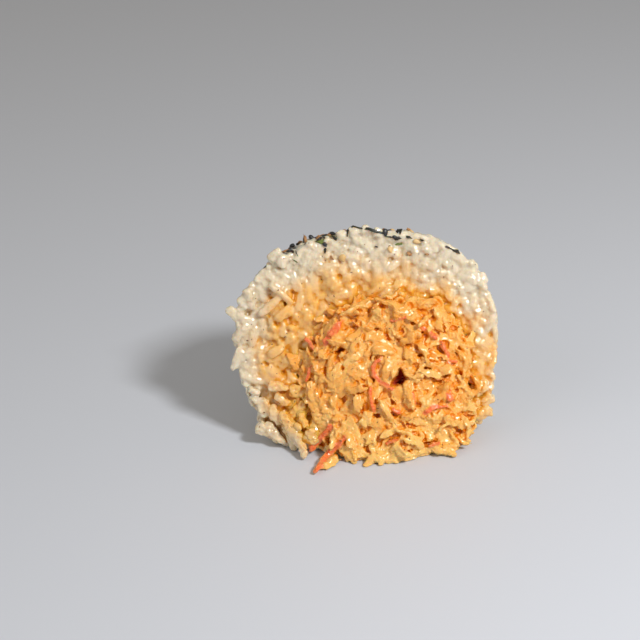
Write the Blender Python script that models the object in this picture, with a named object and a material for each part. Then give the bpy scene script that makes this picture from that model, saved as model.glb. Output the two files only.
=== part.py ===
"""Half of a spicy crab onigiri, in metres, +Z up.

A ball of rice, flattened where it rests, is broken open on a mix of shredded crab.
The broken face looks to -Y and leans back. The crab shows in its middle, and some of
it has slid forward and down onto the surface that the piece stands on. Grains that broke
off the ball lean in a mound against the crab's left side. Sesame seeds and flakes of
seaweed lie on top of the ball.

The origin is at the middle of the footprint's box, on the resting surface.
"""

import math
import random

import bmesh
import bpy
from mathutils import Matrix, Vector, noise

MM = 0.001

# The rice ball, measured to the middle of its outermost grains.
BALL_CENTRE = Vector((0.1, -10.1, 28.0)) * MM
BALL_HALF_WIDTH = 39.2 * MM
BALL_HALF_DEPTH = 38.2 * MM
BALL_TOP_HEIGHT = 34.6 * MM
BALL_BASE_HEIGHT = 32.5 * MM
GIRTH_POWER = 2.25
TOP_POWER = 2.55
BASE_POWER = 4.0
# Each flank draws in towards the base by this share of its width.
LEFT_TUCK = 0.19
RIGHT_TUCK = 0.12
LUMP_SHARE = 0.045
LUMP_SCALE = 1.9
CORE_INSET = 0.9 * MM

# The two broken faces lean back from the vertical. Each has its foot this far before the
# ball's centre.
RICE_FACE_AHEAD = 5.5 * MM
RICE_FACE_LEAN = math.radians(15.0)
CRAB_FACE_AHEAD = 15.5 * MM
CRAB_FACE_LEAN = math.radians(26.0)

# The crab mix is one rounded heap that fills the ball's middle and slumps out of its face.
# Its front stands out of the rice most in its middle, and less at its sides by this share.
CRAB_CENTRE = Vector((6.8, -17.7, 17.0)) * MM
CRAB_HALF_SIZES = Vector((23.5, 27.0, 26.5)) * MM
CRAB_POWER = 2.6
CRAB_SIDE_FALL = 0.55
CRAB_FACE_BULGE = 2.2 * MM
CRAB_FACE_LUMP = 1.6 * MM
CRAB_LUMP_SIZE = 9.0 * MM
SEAM_GAP = 0.45 * MM
# A grain beside the seam may reach in as far as this value of the crab's field.
SEAM_BITE = 0.93
# Shreds that lie on the crab's flanks stay this far in front of the rice's broken face.
RIM_ROOM = 4.2 * MM

# Grains that fell from the ball lean in a mound against the crab's left side.
MOUND_CENTRE = Vector((-18.5, -13.0, -0.7)) * MM
MOUND_HALF_SIZES = Vector((9.5, 8.0, 13.5)) * MM
MOUND_GRAINS = 60
# Shreds stay this much of the mound's size clear of it.
MOUND_ROOM = 1.5

# Both forms are first made a little deeper than the resting surface and then trimmed to it.
FLOOR_SPARE = 0.6 * MM

# Spots on either broken face are laid out round a point this far up it.
FACE_MIDDLE = 24.0 * MM

# One cooked grain of short rice, and how many are laid out before any is left out.
GRAIN_LENGTH = 7.6 * MM
GRAIN_WIDTH = 3.3 * MM
GRAIN_SIZE_SPREAD = 0.14
GRAIN_BENDS = (0.05, 0.12, 0.2)
GRAIN_SIDES = 5
GRAIN_RINGS = 3
OUTER_GRAINS = 430
FACE_GRAINS = 175
FACE_GRAIN_REACH = 43.0 * MM
# Grains on the broken face go out to this value of the ball's field.
FACE_RIM = 1.02
GRAIN_TILT = math.radians(22)
FACE_GRAIN_TILT = math.radians(38)
LAYING_TRIES = 9
# A piece's middle line stays at least this share of its half thickness over the floor.
FLOOR_SHARE = 0.55

# One shred of crab, and how many are laid out.
SHRED_LENGTH = 11.5 * MM
SHRED_WIDTH = 2.9 * MM
SHRED_THICKNESS = 1.5 * MM
SHRED_SIZE_SPREAD = 0.3
SHRED_TAPER = 0.62
# The bend and the twist in radians of each kind of shred.
SHRED_KINDS = ((0.12, 0.3), (0.22, -0.5), (0.05, 0.7))
FACE_SHREDS = 96
FACE_SHRED_REACH = 31.0 * MM
BODY_SHREDS = 170
SHRED_TILT = math.radians(26)
# Shreds on the crab's face keep this far inside its outline.
SHRED_MARGIN = 1.0 * MM

# The seeds and seaweed on top.
SEED_SIZE = Vector((3.1, 1.9, 1.3)) * MM
SEAWEED_SIZE = Vector((3.4, 2.2, 0.7)) * MM
TOPPING_REACH = 30.0 * MM
TOPPING_SHARE = 0.85
TOPPING_LIFT = 1.2 * MM
SEAWEED_SHARE = 0.35

# Slopes are measured over this much to either side.
SLOPE_STEP = 1.0 * MM
GOLDEN_ANGLE = math.pi * (3 - math.sqrt(5))
SEED = 27


def clear_scene():
    for obj in list(bpy.data.objects):
        bpy.data.objects.remove(obj)


def add_collection(name):
    made = bpy.data.collections.new(name)
    bpy.context.scene.collection.children.link(made)
    return made


def add_object(name, mesh, collection, matrix=None):
    obj = bpy.data.objects.new(name, mesh)
    collection.objects.link(obj)
    if matrix is not None:
        obj.matrix_world = matrix
    return obj


def finished_mesh(name, bm):
    bmesh.ops.triangulate(bm, faces=bm.faces)
    bmesh.ops.recalc_face_normals(bm, faces=bm.faces)
    mesh = bpy.data.meshes.new(name)
    bm.to_mesh(mesh)
    bm.free()
    return mesh


def add_material(obj, name, colour, roughness):
    material = bpy.data.materials.new(name)
    material.use_nodes = True
    shader = material.node_tree.nodes["Principled BSDF"]
    shader.inputs["Base Color"].default_value = (*colour, 1)
    shader.inputs["Roughness"].default_value = roughness
    shader.inputs["Metallic"].default_value = 0
    obj.data.materials.clear()
    obj.data.materials.append(material)


# The fields below are under 1 inside a form, 1 on its skin and over 1 outside.


def ball_power(offset):
    return TOP_POWER if offset.z > 0 else BASE_POWER


def ball_field(point):
    offset = point - BALL_CENTRE
    power = ball_power(offset)
    half_height = BALL_TOP_HEIGHT if offset.z > 0 else BALL_BASE_HEIGHT
    half_width = BALL_HALF_WIDTH
    if offset.z < 0:
        tuck = LEFT_TUCK if offset.x < 0 else RIGHT_TUCK
        half_width *= 1 - tuck * min(1.0, -offset.z / offset.length)
    girth = (
        abs(offset.x / half_width) ** GIRTH_POWER
        + abs(offset.y / BALL_HALF_DEPTH) ** GIRTH_POWER
    )
    lump = 1 + LUMP_SHARE * noise.noise(offset.normalized() * LUMP_SCALE)
    whole = girth ** (power / GIRTH_POWER) + abs(offset.z / half_height) ** power
    return whole / lump**power


def crab_field(point):
    offset = point - CRAB_CENTRE
    shares = (abs(offset[i] / CRAB_HALF_SIZES[i]) ** CRAB_POWER for i in range(3))
    return sum(shares) ** (1 / CRAB_POWER)


def mound_field(point):
    offset = point - MOUND_CENTRE
    return math.sqrt(sum((offset[i] / MOUND_HALF_SIZES[i]) ** 2 for i in range(3)))


def skin_point(direction):
    """Where a ray from the ball's centre meets its skin."""
    power = ball_power(direction)
    return BALL_CENTRE + direction / ball_field(BALL_CENTRE + direction) ** (1 / power)


def crab_skin_point(direction):
    """Where a ray from the crab's centre meets its skin."""
    return CRAB_CENTRE + direction / crab_field(CRAB_CENTRE + direction)


def outward(field, point):
    """The unit normal of a field's skin near a point."""
    slope = []
    for axis in range(3):
        shift = Vector((0, 0, 0))
        shift[axis] = SLOPE_STEP / 5
        slope.append(field(point + shift) - field(point - shift))
    return Vector(slope).normalized()


class Face:
    """A broken face: a plane that leans back about a line along X at its foot."""

    def __init__(self, foot_y, lean):
        self.foot = Vector((0, foot_y, 0))
        self.up = Vector((0, math.sin(lean), math.cos(lean)))
        self.normal = Vector((0, -math.cos(lean), math.sin(lean)))

    def point(self, across, up):
        return self.foot + Vector((across, 0, 0)) + self.up * up

    def height_over(self, point):
        """How far a point stands in front of the face."""
        return (point - self.foot).dot(self.normal)

    def dropped_onto(self, point):
        return point - self.normal * self.height_over(point)


RICE_FACE = Face(BALL_CENTRE.y - RICE_FACE_AHEAD, RICE_FACE_LEAN)
CRAB_FACE = Face(BALL_CENTRE.y - CRAB_FACE_AHEAD, CRAB_FACE_LEAN)


def cut_flat(bm, plane_point, plane_normal):
    """Takes away what is outside a plane and closes the cut."""
    bmesh.ops.bisect_plane(
        bm,
        geom=bm.verts[:] + bm.edges[:] + bm.faces[:],
        dist=0.001 * MM,
        plane_co=plane_point,
        plane_no=plane_normal,
        clear_outer=True,
    )
    rim = [edge for edge in bm.edges if edge.is_boundary]
    bmesh.ops.holes_fill(bm, edges=rim, sides=0)


def ball_core():
    """The packed rice under the grains, broken at its face and flat at its base."""
    bm = bmesh.new()
    bmesh.ops.create_icosphere(bm, subdivisions=3, radius=1)
    for vert in bm.verts:
        direction = vert.co.normalized()
        skin = skin_point(direction)
        vert.co = skin - outward(ball_field, skin) * CORE_INSET
    cut_flat(bm, RICE_FACE.foot, RICE_FACE.normal)
    cut_flat(bm, Vector((0, 0, -FLOOR_SPARE)), Vector((0, 0, -1)))
    return finished_mesh("ball_core", bm)


def crab_body(growth):
    """The whole rounded form of the crab mix, larger by growth than its skin."""
    bm = bmesh.new()
    bmesh.ops.create_icosphere(bm, subdivisions=3, radius=1)
    for vert in bm.verts:
        skin = crab_skin_point(vert.co.normalized())
        vert.co = skin + outward(crab_field, skin) * growth
    return bm


def front_height(point):
    """How far the crab's lumpy front stands before the rice's broken face near a point."""
    spot = RICE_FACE.dropped_onto(point)
    gap = -CRAB_FACE.height_over(spot) / RICE_FACE.normal.dot(CRAB_FACE.normal)
    share = (spot.x - CRAB_CENTRE.x) / CRAB_HALF_SIZES.x
    lump = noise.noise(spot / CRAB_LUMP_SIZE) * CRAB_FACE_LUMP
    return (gap + CRAB_FACE_BULGE) * (1 - CRAB_SIDE_FALL * share**2) + lump


def crab_front(spot):
    """The point of the crab's front over a spot on the rice's broken face."""
    return spot + RICE_FACE.normal * front_height(spot)


def crab_front_normal(spot):
    """The way the crab's front faces over a spot on the rice's broken face."""
    right, up = Vector((SLOPE_STEP, 0, 0)), RICE_FACE.up * SLOPE_STEP
    across = crab_front(spot + right) - crab_front(spot - right)
    return across.cross(crab_front(spot + up) - crab_front(spot - up)).normalized()


def crab_core():
    """The crab mix under its shreds: what stood before its front is pressed back onto it."""
    bm = crab_body(0)
    for vert in bm.verts:
        height = RICE_FACE.height_over(vert.co) - front_height(vert.co)
        if height > 0:
            vert.co -= RICE_FACE.normal * height
    cut_flat(bm, Vector((0, 0, -FLOOR_SPARE)), Vector((0, 0, -1)))
    return finished_mesh("crab_core", bm)


def ball_mesh():
    bm = bmesh.new()
    bmesh.ops.create_icosphere(bm, subdivisions=2, radius=1)
    return finished_mesh("ball", bm)


def grain_mesh(bend):
    """A cooked grain along X, one unit long, plump at one end and a little bent."""
    bm = bmesh.new()
    bmesh.ops.create_uvsphere(bm, u_segments=GRAIN_SIDES, v_segments=GRAIN_RINGS, radius=0.5)
    turn = Matrix.Rotation(math.pi / 2, 3, "Y")
    slimness = GRAIN_WIDTH / GRAIN_LENGTH
    for vert in bm.verts:
        spot = turn @ vert.co
        if abs(spot.x) < 0.4:
            spot.x *= 1.2
        plump = 1 + 0.35 * spot.x
        spot.y *= slimness * plump * 1.12
        spot.z = spot.z * slimness * plump + bend * (0.25 - spot.x**2)
        vert.co = spot
    return finished_mesh("grain", bm)


def shred_mesh(bend, twist):
    """A shred of crab along X, one unit long, ragged, bent and twisted."""
    bm = bmesh.new()
    bmesh.ops.create_cube(bm, size=1)
    along = [
        edge
        for edge in bm.edges
        if abs(edge.verts[0].co.x - edge.verts[1].co.x) > 0.5
    ]
    bmesh.ops.subdivide_edges(bm, edges=along, cuts=1)
    for vert in bm.verts:
        share = vert.co.x * 2
        taper = 1 - SHRED_TAPER * share**2
        spot = Vector(
            (
                vert.co.x,
                vert.co.y * taper * SHRED_WIDTH / SHRED_LENGTH,
                vert.co.z * taper * SHRED_THICKNESS / SHRED_LENGTH,
            )
        )
        spot = Matrix.Rotation(twist * share, 3, "X") @ spot
        spot.z += bend * (0.25 - spot.x**2)
        spot.y += 0.5 * bend * math.sin(math.pi * spot.x)
        vert.co = spot
    return finished_mesh("shred", bm)


def seed_mesh(size):
    """A seed or flake of the given size, with few sides."""
    bm = bmesh.new()
    bmesh.ops.create_uvsphere(bm, u_segments=GRAIN_SIDES, v_segments=GRAIN_RINGS, radius=0.5)
    turn = Matrix.Rotation(math.pi / 2, 3, "Y")
    for vert in bm.verts:
        spot = turn @ vert.co
        plump = 1 + 0.5 * spot.x
        vert.co = Vector((spot.x * size.x, spot.y * size.y * plump, spot.z * size.z))
    return finished_mesh("seed", bm)


def lying_matrix(spot, normal, draw, tilt, size):
    """A piece whose length lies across the normal, turned at random and tipped by up to tilt."""
    side = normal.orthogonal().normalized()
    side.rotate(Matrix.Rotation(draw.uniform(0, 2 * math.pi), 3, normal))
    across = normal.cross(side)
    tip = Matrix.Rotation(draw.uniform(-tilt, tilt), 3, across)
    long_way, up = tip @ side, tip @ normal
    turn = Matrix((long_way, across, up)).transposed().to_4x4()
    return Matrix.Translation(spot) @ turn @ Matrix.Scale(size, 4)


def spine(matrix, steps=5):
    """Points along the length of a piece that lies along its own X."""
    return [matrix @ Vector((i / (steps - 1) - 0.5, 0, 0)) for i in range(steps)]


def clear_of_crab(matrix):
    """Grains may press against the crab, which trims their ends, but none runs into it."""
    return all(crab_field(spot) > SEAM_BITE for spot in spine(matrix))


def clear_of_mound(points):
    return all(mound_field(spot) > MOUND_ROOM for spot in points)


def laid(spot, normal, draw, tilt, size, fits):
    """The matrix of a piece that is turned until it fits, or None if it never does."""
    for _ in range(LAYING_TRIES):
        matrix = lying_matrix(spot, normal, draw, tilt, size)
        if fits(matrix):
            return matrix
    return None


def over_floor(matrix, radius):
    return all(spot.z > FLOOR_SHARE * radius for spot in spine(matrix))


def even_directions(count):
    """Directions spread evenly all round, in one spiral from the top to the bottom."""
    for i in range(count):
        height = 1 - 2 * (i + 0.5) / count
        ring = math.sqrt(1 - height**2)
        angle = i * GOLDEN_ANGLE
        yield Vector((ring * math.cos(angle), ring * math.sin(angle), height))


def outer_grain_spots():
    """Spots spread evenly over the ball's skin, behind the broken face, with their normals."""
    for direction in even_directions(OUTER_GRAINS):
        spot = skin_point(direction)
        if RICE_FACE.height_over(spot) < 0:
            yield spot, outward(ball_field, spot)


def mound_grain_spots():
    """Spots spread evenly over the mound of fallen grains, with their normals."""
    for direction in even_directions(MOUND_GRAINS):
        spot = MOUND_CENTRE + direction * MOUND_HALF_SIZES
        if RICE_FACE.height_over(spot) > 0:
            yield spot, outward(mound_field, spot)


def face_spots(face, count, reach):
    """Spots spread evenly over a broken face, in the turns of a sunflower's seeds."""
    for i in range(count):
        radius = reach * math.sqrt((i + 0.5) / count)
        angle = i * GOLDEN_ANGLE
        yield face.point(radius * math.cos(angle), FACE_MIDDLE + radius * math.sin(angle))


def grain_matrices(draw):
    """Where the grains lie, with the normal of what each one lies on."""
    radius = GRAIN_WIDTH / 2

    def fits(matrix):
        return over_floor(matrix, radius) and clear_of_crab(matrix)

    lying_spots = [*outer_grain_spots(), *mound_grain_spots()]
    spots = [(spot, normal, GRAIN_TILT) for spot, normal in lying_spots]
    for spot in face_spots(RICE_FACE, FACE_GRAINS, FACE_GRAIN_REACH):
        if ball_field(spot) < FACE_RIM:
            spots.append((spot, RICE_FACE.normal, FACE_GRAIN_TILT))
    for spot, normal, tilt in spots:
        size = GRAIN_LENGTH * (1 + draw.uniform(-1, 1) * GRAIN_SIZE_SPREAD)
        matrix = laid(spot, normal, draw, tilt, size, fits)
        if matrix is not None:
            yield matrix, normal


def add_toppings(grains, collection, draw):
    """Seeds and seaweed, each sunk a little in a grain near the ball's top."""
    seed, seaweed = seed_mesh(SEED_SIZE), seed_mesh(SEAWEED_SIZE)
    top = skin_point(Vector((0, 0, 1)))
    for matrix, normal in grains:
        spot = matrix.translation
        nearness = 1 - (spot - top).length / TOPPING_REACH
        if draw.random() > TOPPING_SHARE * nearness:
            continue
        piece = seaweed if draw.random() < SEAWEED_SHARE else seed
        lifted = spot + normal * TOPPING_LIFT
        where = lying_matrix(lifted, normal, draw, GRAIN_TILT, 1.0)
        add_object("topping", piece, collection, where)


def crab_body_spots():
    """Spots on the crab's rounded form where it stands clear of the rice, with their normals."""
    for direction in even_directions(BODY_SHREDS):
        spot = crab_skin_point(direction)
        if spot.z > 0 and RIM_ROOM < RICE_FACE.height_over(spot) < front_height(spot):
            yield spot, outward(crab_field, spot)


def shred_matrices(draw):
    """Where the shreds lie: over the crab's face, and on its flanks before the rice."""
    margin = 1 - SHRED_MARGIN / min(CRAB_HALF_SIZES)

    def fits_face(matrix):
        points = spine(matrix)
        inside = all(crab_field(RICE_FACE.dropped_onto(p)) < margin for p in points)
        return inside and clear_of_mound(points) and over_floor(matrix, SHRED_THICKNESS)

    def fits_body(matrix):
        points = spine(matrix)
        in_front = all(RICE_FACE.height_over(p) > RIM_ROOM for p in points)
        return in_front and clear_of_mound(points) and over_floor(matrix, SHRED_THICKNESS)

    spots = [(spot, normal, fits_body) for spot, normal in crab_body_spots()]
    for spot in face_spots(RICE_FACE, FACE_SHREDS, FACE_SHRED_REACH):
        spots.append((crab_front(spot), crab_front_normal(spot), fits_face))
    for spot, normal, fits in spots:
        size = SHRED_LENGTH * (1 + draw.uniform(-1, 1) * SHRED_SIZE_SPREAD)
        matrix = laid(spot, normal, draw, SHRED_TILT, size, fits)
        if matrix is not None:
            yield matrix


def apply_boolean(obj, operation, collection):
    """Joins or cuts with every object of a collection, and then removes them."""
    modifier = obj.modifiers.new(operation.lower(), "BOOLEAN")
    modifier.operation = operation
    modifier.operand_type = "COLLECTION"
    modifier.collection = collection
    graph = bpy.context.evaluated_depsgraph_get()
    joined = bpy.data.meshes.new_from_object(obj.evaluated_get(graph))
    obj.modifiers.clear()
    obj.data = joined
    for other in list(collection.objects):
        bpy.data.objects.remove(other)
    bpy.data.collections.remove(collection)


def islands_of(bm):
    """The separate bodies of a mesh, each as a set of faces."""
    left = set(bm.faces)
    found = []
    while left:
        start = left.pop()
        island, waiting = {start}, [start]
        while waiting:
            face = waiting.pop()
            beside = {near for edge in face.edges for near in edge.link_faces} & left
            left -= beside
            island |= beside
            waiting.extend(beside)
        found.append(island)
    return found


def trim_to_one_body(obj):
    """Cuts the base flat, and drops loose scraps and the skins of sealed hollows."""
    bm = bmesh.new()
    bm.from_mesh(obj.data)
    cut_flat(bm, Vector((0, 0, 0)), Vector((0, 0, -1)))
    bmesh.ops.triangulate(bm, faces=bm.faces)
    islands = sorted(islands_of(bm), key=len)
    for island in islands[:-1]:
        verts = {vert for face in island for vert in face.verts}
        bmesh.ops.delete(bm, geom=list(verts), context="VERTS")
    bm.to_mesh(obj.data)
    bm.free()


def make_rice(parts, draw):
    rice = add_object("rice_ball", ball_core(), parts)
    pieces = add_collection("grains")
    shapes = [grain_mesh(bend) for bend in GRAIN_BENDS]
    mound = Matrix.Translation(MOUND_CENTRE) @ Matrix.Diagonal((*MOUND_HALF_SIZES, 1))
    add_object("mound", ball_mesh(), pieces, mound)
    grains = list(grain_matrices(draw))
    for matrix, _ in grains:
        add_object("grain", draw.choice(shapes), pieces, matrix)
    add_toppings(grains, pieces, draw)
    apply_boolean(rice, "UNION", pieces)
    cutters = add_collection("cutters")
    add_object("hollow", finished_mesh("hollow", crab_body(SEAM_GAP)), cutters)
    apply_boolean(rice, "DIFFERENCE", cutters)
    trim_to_one_body(rice)
    add_material(rice, "cooked_rice", (0.78, 0.72, 0.58), 0.38)
    return rice


def make_crab(parts, draw):
    crab = add_object("crab_filling", crab_core(), parts)
    pieces = add_collection("shreds")
    shapes = [shred_mesh(bend, twist) for bend, twist in SHRED_KINDS]
    for matrix in shred_matrices(draw):
        add_object("shred", draw.choice(shapes), pieces, matrix)
    apply_boolean(crab, "UNION", pieces)
    trim_to_one_body(crab)
    add_material(crab, "spicy_crab", (0.80, 0.33, 0.08), 0.42)
    return crab


def main():
    clear_scene()
    parts = add_collection("spicy_crab_onigiri")
    draw = random.Random(SEED)
    make_rice(parts, draw)
    make_crab(parts, draw)


main()
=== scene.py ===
# %% [markdown]
# # Half of a spicy crab onigiri
#
# A ball of warm rice was pressed by hand round a spoonful of shredded crab, dusted with sesame and
# seaweed, and broken in two. This lesson dresses one half. The frame gives the two solids that carry
# everything, the rice and the filling. Each is replaced by the real thing over its own core:
# hundreds of pressed grains, and a heap of torn shreds. Units are metres, and +Z is up.

import math
import random

import bmesh
import bpy
import numpy as np
from mathutils import Matrix, Vector, bvhtree, kdtree, noise


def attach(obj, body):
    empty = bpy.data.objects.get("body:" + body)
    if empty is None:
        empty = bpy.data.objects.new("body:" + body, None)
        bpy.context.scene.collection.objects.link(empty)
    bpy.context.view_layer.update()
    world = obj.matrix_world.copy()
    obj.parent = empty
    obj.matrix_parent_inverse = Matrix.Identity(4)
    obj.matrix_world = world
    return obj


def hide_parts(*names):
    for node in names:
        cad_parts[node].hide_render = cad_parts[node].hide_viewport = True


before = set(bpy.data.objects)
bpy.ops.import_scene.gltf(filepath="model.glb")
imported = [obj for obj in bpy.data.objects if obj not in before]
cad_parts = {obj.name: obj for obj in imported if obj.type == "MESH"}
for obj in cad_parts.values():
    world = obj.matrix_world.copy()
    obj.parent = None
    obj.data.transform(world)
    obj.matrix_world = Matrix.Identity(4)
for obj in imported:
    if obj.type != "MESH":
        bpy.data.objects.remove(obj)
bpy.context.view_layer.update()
MM = 0.001

# %% [markdown]
# ## The camera
#
# The view is from a little above and a little to the right, tipped by a few degrees. A long lens from
# half a metre away would do for any food picture, but this view has to match one, so the camera is
# built from four measured things: its two angles, its tip, and how many pixels one metre takes at
# the broken face. A ray through a pixel comes from the same numbers, and later sets the strips,
# grains and seeds that can be told apart.

# %% Camera
FRAME_SIDE = 640
MIDDLE_PIXEL = FRAME_SIDE / 2
SENSOR = 36.0
FOCAL_PIXELS = 1600.0
PIXELS_PER_METRE = 3290.0
CAMERA_AZIMUTH = math.radians(5)
CAMERA_ELEVATION = math.radians(25)
CAMERA_TIP = math.radians(-5)
AIM = Vector((0, -9.5, 31)) * MM
AIM_PIXEL = (366, 344)

back = Vector((
    math.sin(CAMERA_AZIMUTH) * math.cos(CAMERA_ELEVATION),
    -math.cos(CAMERA_AZIMUTH) * math.cos(CAMERA_ELEVATION),
    math.sin(CAMERA_ELEVATION),
))
camera_turn = (-back).to_track_quat("-Z", "Y").to_matrix() @ Matrix.Rotation(CAMERA_TIP, 3, "Z")


def pixel_direction(pixel):
    """The direction, in the world, from the camera through a pixel, one unit deep."""
    across = (pixel[0] - MIDDLE_PIXEL) / FOCAL_PIXELS
    down = (pixel[1] - MIDDLE_PIXEL) / FOCAL_PIXELS
    return camera_turn @ Vector((across, -down, -1))


camera_place = AIM - pixel_direction(AIM_PIXEL) * (FOCAL_PIXELS / PIXELS_PER_METRE)
camera = bpy.data.objects.new("camera", bpy.data.cameras.new("camera"))
bpy.context.scene.collection.objects.link(camera)
camera.matrix_world = Matrix.Translation(camera_place) @ camera_turn.to_4x4()
camera.data.sensor_width = SENSOR
camera.data.lens = SENSOR * FOCAL_PIXELS / FRAME_SIDE
camera.data.clip_start = 10 * MM
bpy.context.scene.camera = camera
print("lens", camera.data.lens, "mm, distance", round((camera_place - AIM).length, 3), "m")

# %% [markdown]
# ## Light
#
# Bright light comes over the viewer's right shoulder and leaves the left side of the ball in soft
# shade. A sun lamp would give hard edges, and a dome alone no shape at all. A lamp somewhat broader
# than the ball on the right, a large weak one on the left and a pale, warm sky keep the direction and
# stay soft.

# %% Light
KEY_AZIMUTH = math.radians(44)
KEY_ELEVATION = math.radians(40)
KEY_DISTANCE = 0.7
KEY_SIDE = 0.11
KEY_WATTS = 4.3
FILL_AZIMUTH = math.radians(-60)
FILL_ELEVATION = math.radians(30)
FILL_DISTANCE = 0.9
FILL_SIDE = 0.8
FILL_WATTS = 1.2
SKY_COLOUR = (1.0, 0.94, 0.85, 1)
SKY_STRENGTH = 0.36


def add_lamp(name, azimuth, elevation, distance, side, watts):
    lamp = bpy.data.lights.new(name, "AREA")
    lamp.size, lamp.energy = side, watts
    made = bpy.data.objects.new(name, lamp)
    bpy.context.scene.collection.objects.link(made)
    away = Vector((
        math.sin(azimuth) * math.cos(elevation),
        -math.cos(azimuth) * math.cos(elevation),
        math.sin(elevation),
    ))
    made.location = AIM + away * distance
    made.rotation_mode = "QUATERNION"
    made.rotation_quaternion = (-away).to_track_quat("-Z", "Y")


add_lamp("key_lamp", KEY_AZIMUTH, KEY_ELEVATION, KEY_DISTANCE, KEY_SIDE, KEY_WATTS)
add_lamp("fill_lamp", FILL_AZIMUTH, FILL_ELEVATION, FILL_DISTANCE, FILL_SIDE, FILL_WATTS)
world = bpy.data.worlds.new("pale_sky")
world.use_nodes = True
world.node_tree.nodes["Background"].inputs["Color"].default_value = SKY_COLOUR
world.node_tree.nodes["Background"].inputs["Strength"].default_value = SKY_STRENGTH
bpy.context.scene.world = world
bpy.context.scene.view_settings.view_transform = "Standard"
print("lamps", list(bpy.data.lights.keys()))

# %% [markdown]
# ## Finishes as sums
#
# A finish is a net of nodes, and a long net is hard to read. So a link in it is wrapped in a small
# class that knows plus, minus and times: `0.3 + 0.2 * patches` adds the two Math nodes.

# %% Links


class Link:
    """A value that one node passes on. Arithmetic on it adds Math nodes."""

    def __init__(self, finish, socket):
        self.finish, self.socket = finish, socket

    def maths(self, operation, *values):
        sockets = dict(enumerate(values))
        return self.finish.node("ShaderNodeMath", {"operation": operation}, sockets)

    def __add__(self, other):
        return self.maths("ADD", self, other)

    __radd__ = __add__

    def __mul__(self, other):
        return self.maths("MULTIPLY", self, other)

    __rmul__ = __mul__

    def __sub__(self, other):
        return self.maths("SUBTRACT", self, other)

    def __rsub__(self, other):
        return self.maths("SUBTRACT", other, self)

    def within(self, low, high):
        """A smooth step: 0 below low and 1 above high."""
        settings = {"interpolation_type": "SMOOTHSTEP"}
        return self.finish.node(
            "ShaderNodeMapRange", settings, {"Value": self, "From Min": low, "From Max": high}
        )


print("sums ready")

# %% [markdown]
# A finish is a material whose nodes all come from one method that takes a node's type, its settings
# and its sockets. Colours can't go through Math nodes, so they have a mixing method of their own.

# %% A finish


class Finish:
    """A material with one Principled shader, and the method that adds every other node."""

    def __init__(self, name):
        self.material = bpy.data.materials.new(name)
        self.material.use_nodes = True
        self.tree = self.material.node_tree
        self.shader = self.tree.nodes["Principled BSDF"]

    def set(self, **values):
        """Sets the shader's sockets. Underscores in a name stand for spaces."""
        for name, value in values.items():
            self.fill(self.shader.inputs[name.replace("_", " ")], value)

    def fill(self, socket, value):
        if isinstance(value, Link):
            self.tree.links.new(value.socket, socket)
        else:
            socket.default_value = value

    def node(self, kind, settings=None, sockets=None, out=0):
        made = self.tree.nodes.new(kind)
        for name, value in (settings or {}).items():
            setattr(made, name, value)
        for name, value in (sockets or {}).items():
            self.fill(made.inputs[name], value)
        return Link(self, made.outputs[out])

    def mixed(self, share, start, end):
        """A colour between two, at a share that may change over the surface."""
        sockets = {"Factor": share, 6: start, 7: end}
        return self.node("ShaderNodeMix", {"data_type": "RGBA"}, sockets, out=2)

    def mark(self, name):
        """A number that the mesh carries at each of its points."""
        return self.node("ShaderNodeAttribute", {"attribute_name": name}, out="Fac")

    def place(self):
        return self.node("ShaderNodeTexCoord", out="Object")

    def patches(self, size, detail=2.0, where=None):
        """Soft patches of about this size in metres, from 0 to 1."""
        sockets = {"Scale": 1 / size, "Detail": detail, "Vector": where or self.place()}
        return self.node("ShaderNodeTexNoise", None, sockets, out="Fac")

    def raised(self, height, depth):
        """A normal from a height between 0 and 1 that stands for a depth in metres."""
        return self.node("ShaderNodeBump", None, {"Height": height, "Distance": depth})


def colour(red, green, blue):
    return (red, green, blue, 1)


print("finish ready")

# %% [markdown]
# The floor is the first thing to get a finish. It is plain and pale and only catches the shadow, so
# it belongs to the stage and not to the food.

# %% Floor
FLOOR_SIDE = 8.0

floor_finish = Finish("pale_floor")
floor_finish.set(Base_Color=colour(0.60, 0.625, 0.68), Roughness=0.55)
bm = bmesh.new()
bmesh.ops.create_grid(bm, x_segments=1, y_segments=1, size=FLOOR_SIDE / 2)
floor_mesh = bpy.data.meshes.new("floor")
bm.to_mesh(floor_mesh)
bm.free()
floor = bpy.data.objects.new("floor", floor_mesh)
floor.data.materials.append(floor_finish.material)
bpy.context.scene.collection.objects.link(floor)
print("floor", FLOOR_SIDE, "m")

# %% [markdown]
# ## The form of the ball and of the filling
#
# Both forms are rounded blocks, softer than a box and fuller than a ball, because hands pressed them.
# A rounded block has a simple formula, a sum of powers that is 1 on the skin, and from it come the
# skin's points and the way it faces. The sizes are those of the solids in the frame. A mound of
# grains that fell from the ball leans against the filling's left side, and a plain ellipsoid does
# for it.

# %% The forms
BALL_CENTRE = Vector((0.1, -10.1, 28.0)) * MM
BALL_HALF_WIDTH = 39.2 * MM
BALL_HALF_DEPTH = 38.2 * MM
BALL_TOP_HEIGHT = 34.6 * MM
BALL_BASE_HEIGHT = 32.5 * MM
GIRTH_POWER = 2.25
TOP_POWER = 2.55
BASE_POWER = 4.0
LEFT_TUCK = 0.19
RIGHT_TUCK = 0.12
LUMP_SHARE = 0.045
LUMP_SCALE = 1.9
CRAB_CENTRE = Vector((6.8, -17.7, 17.0)) * MM
CRAB_HALF_SIZES = Vector((23.5, 27.0, 26.5)) * MM
CRAB_POWER = 2.6
MOUND_CENTRE = Vector((-18.5, -13.0, -0.7)) * MM
MOUND_HALF_SIZES = Vector((9.5, 8.0, 13.5)) * MM


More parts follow.
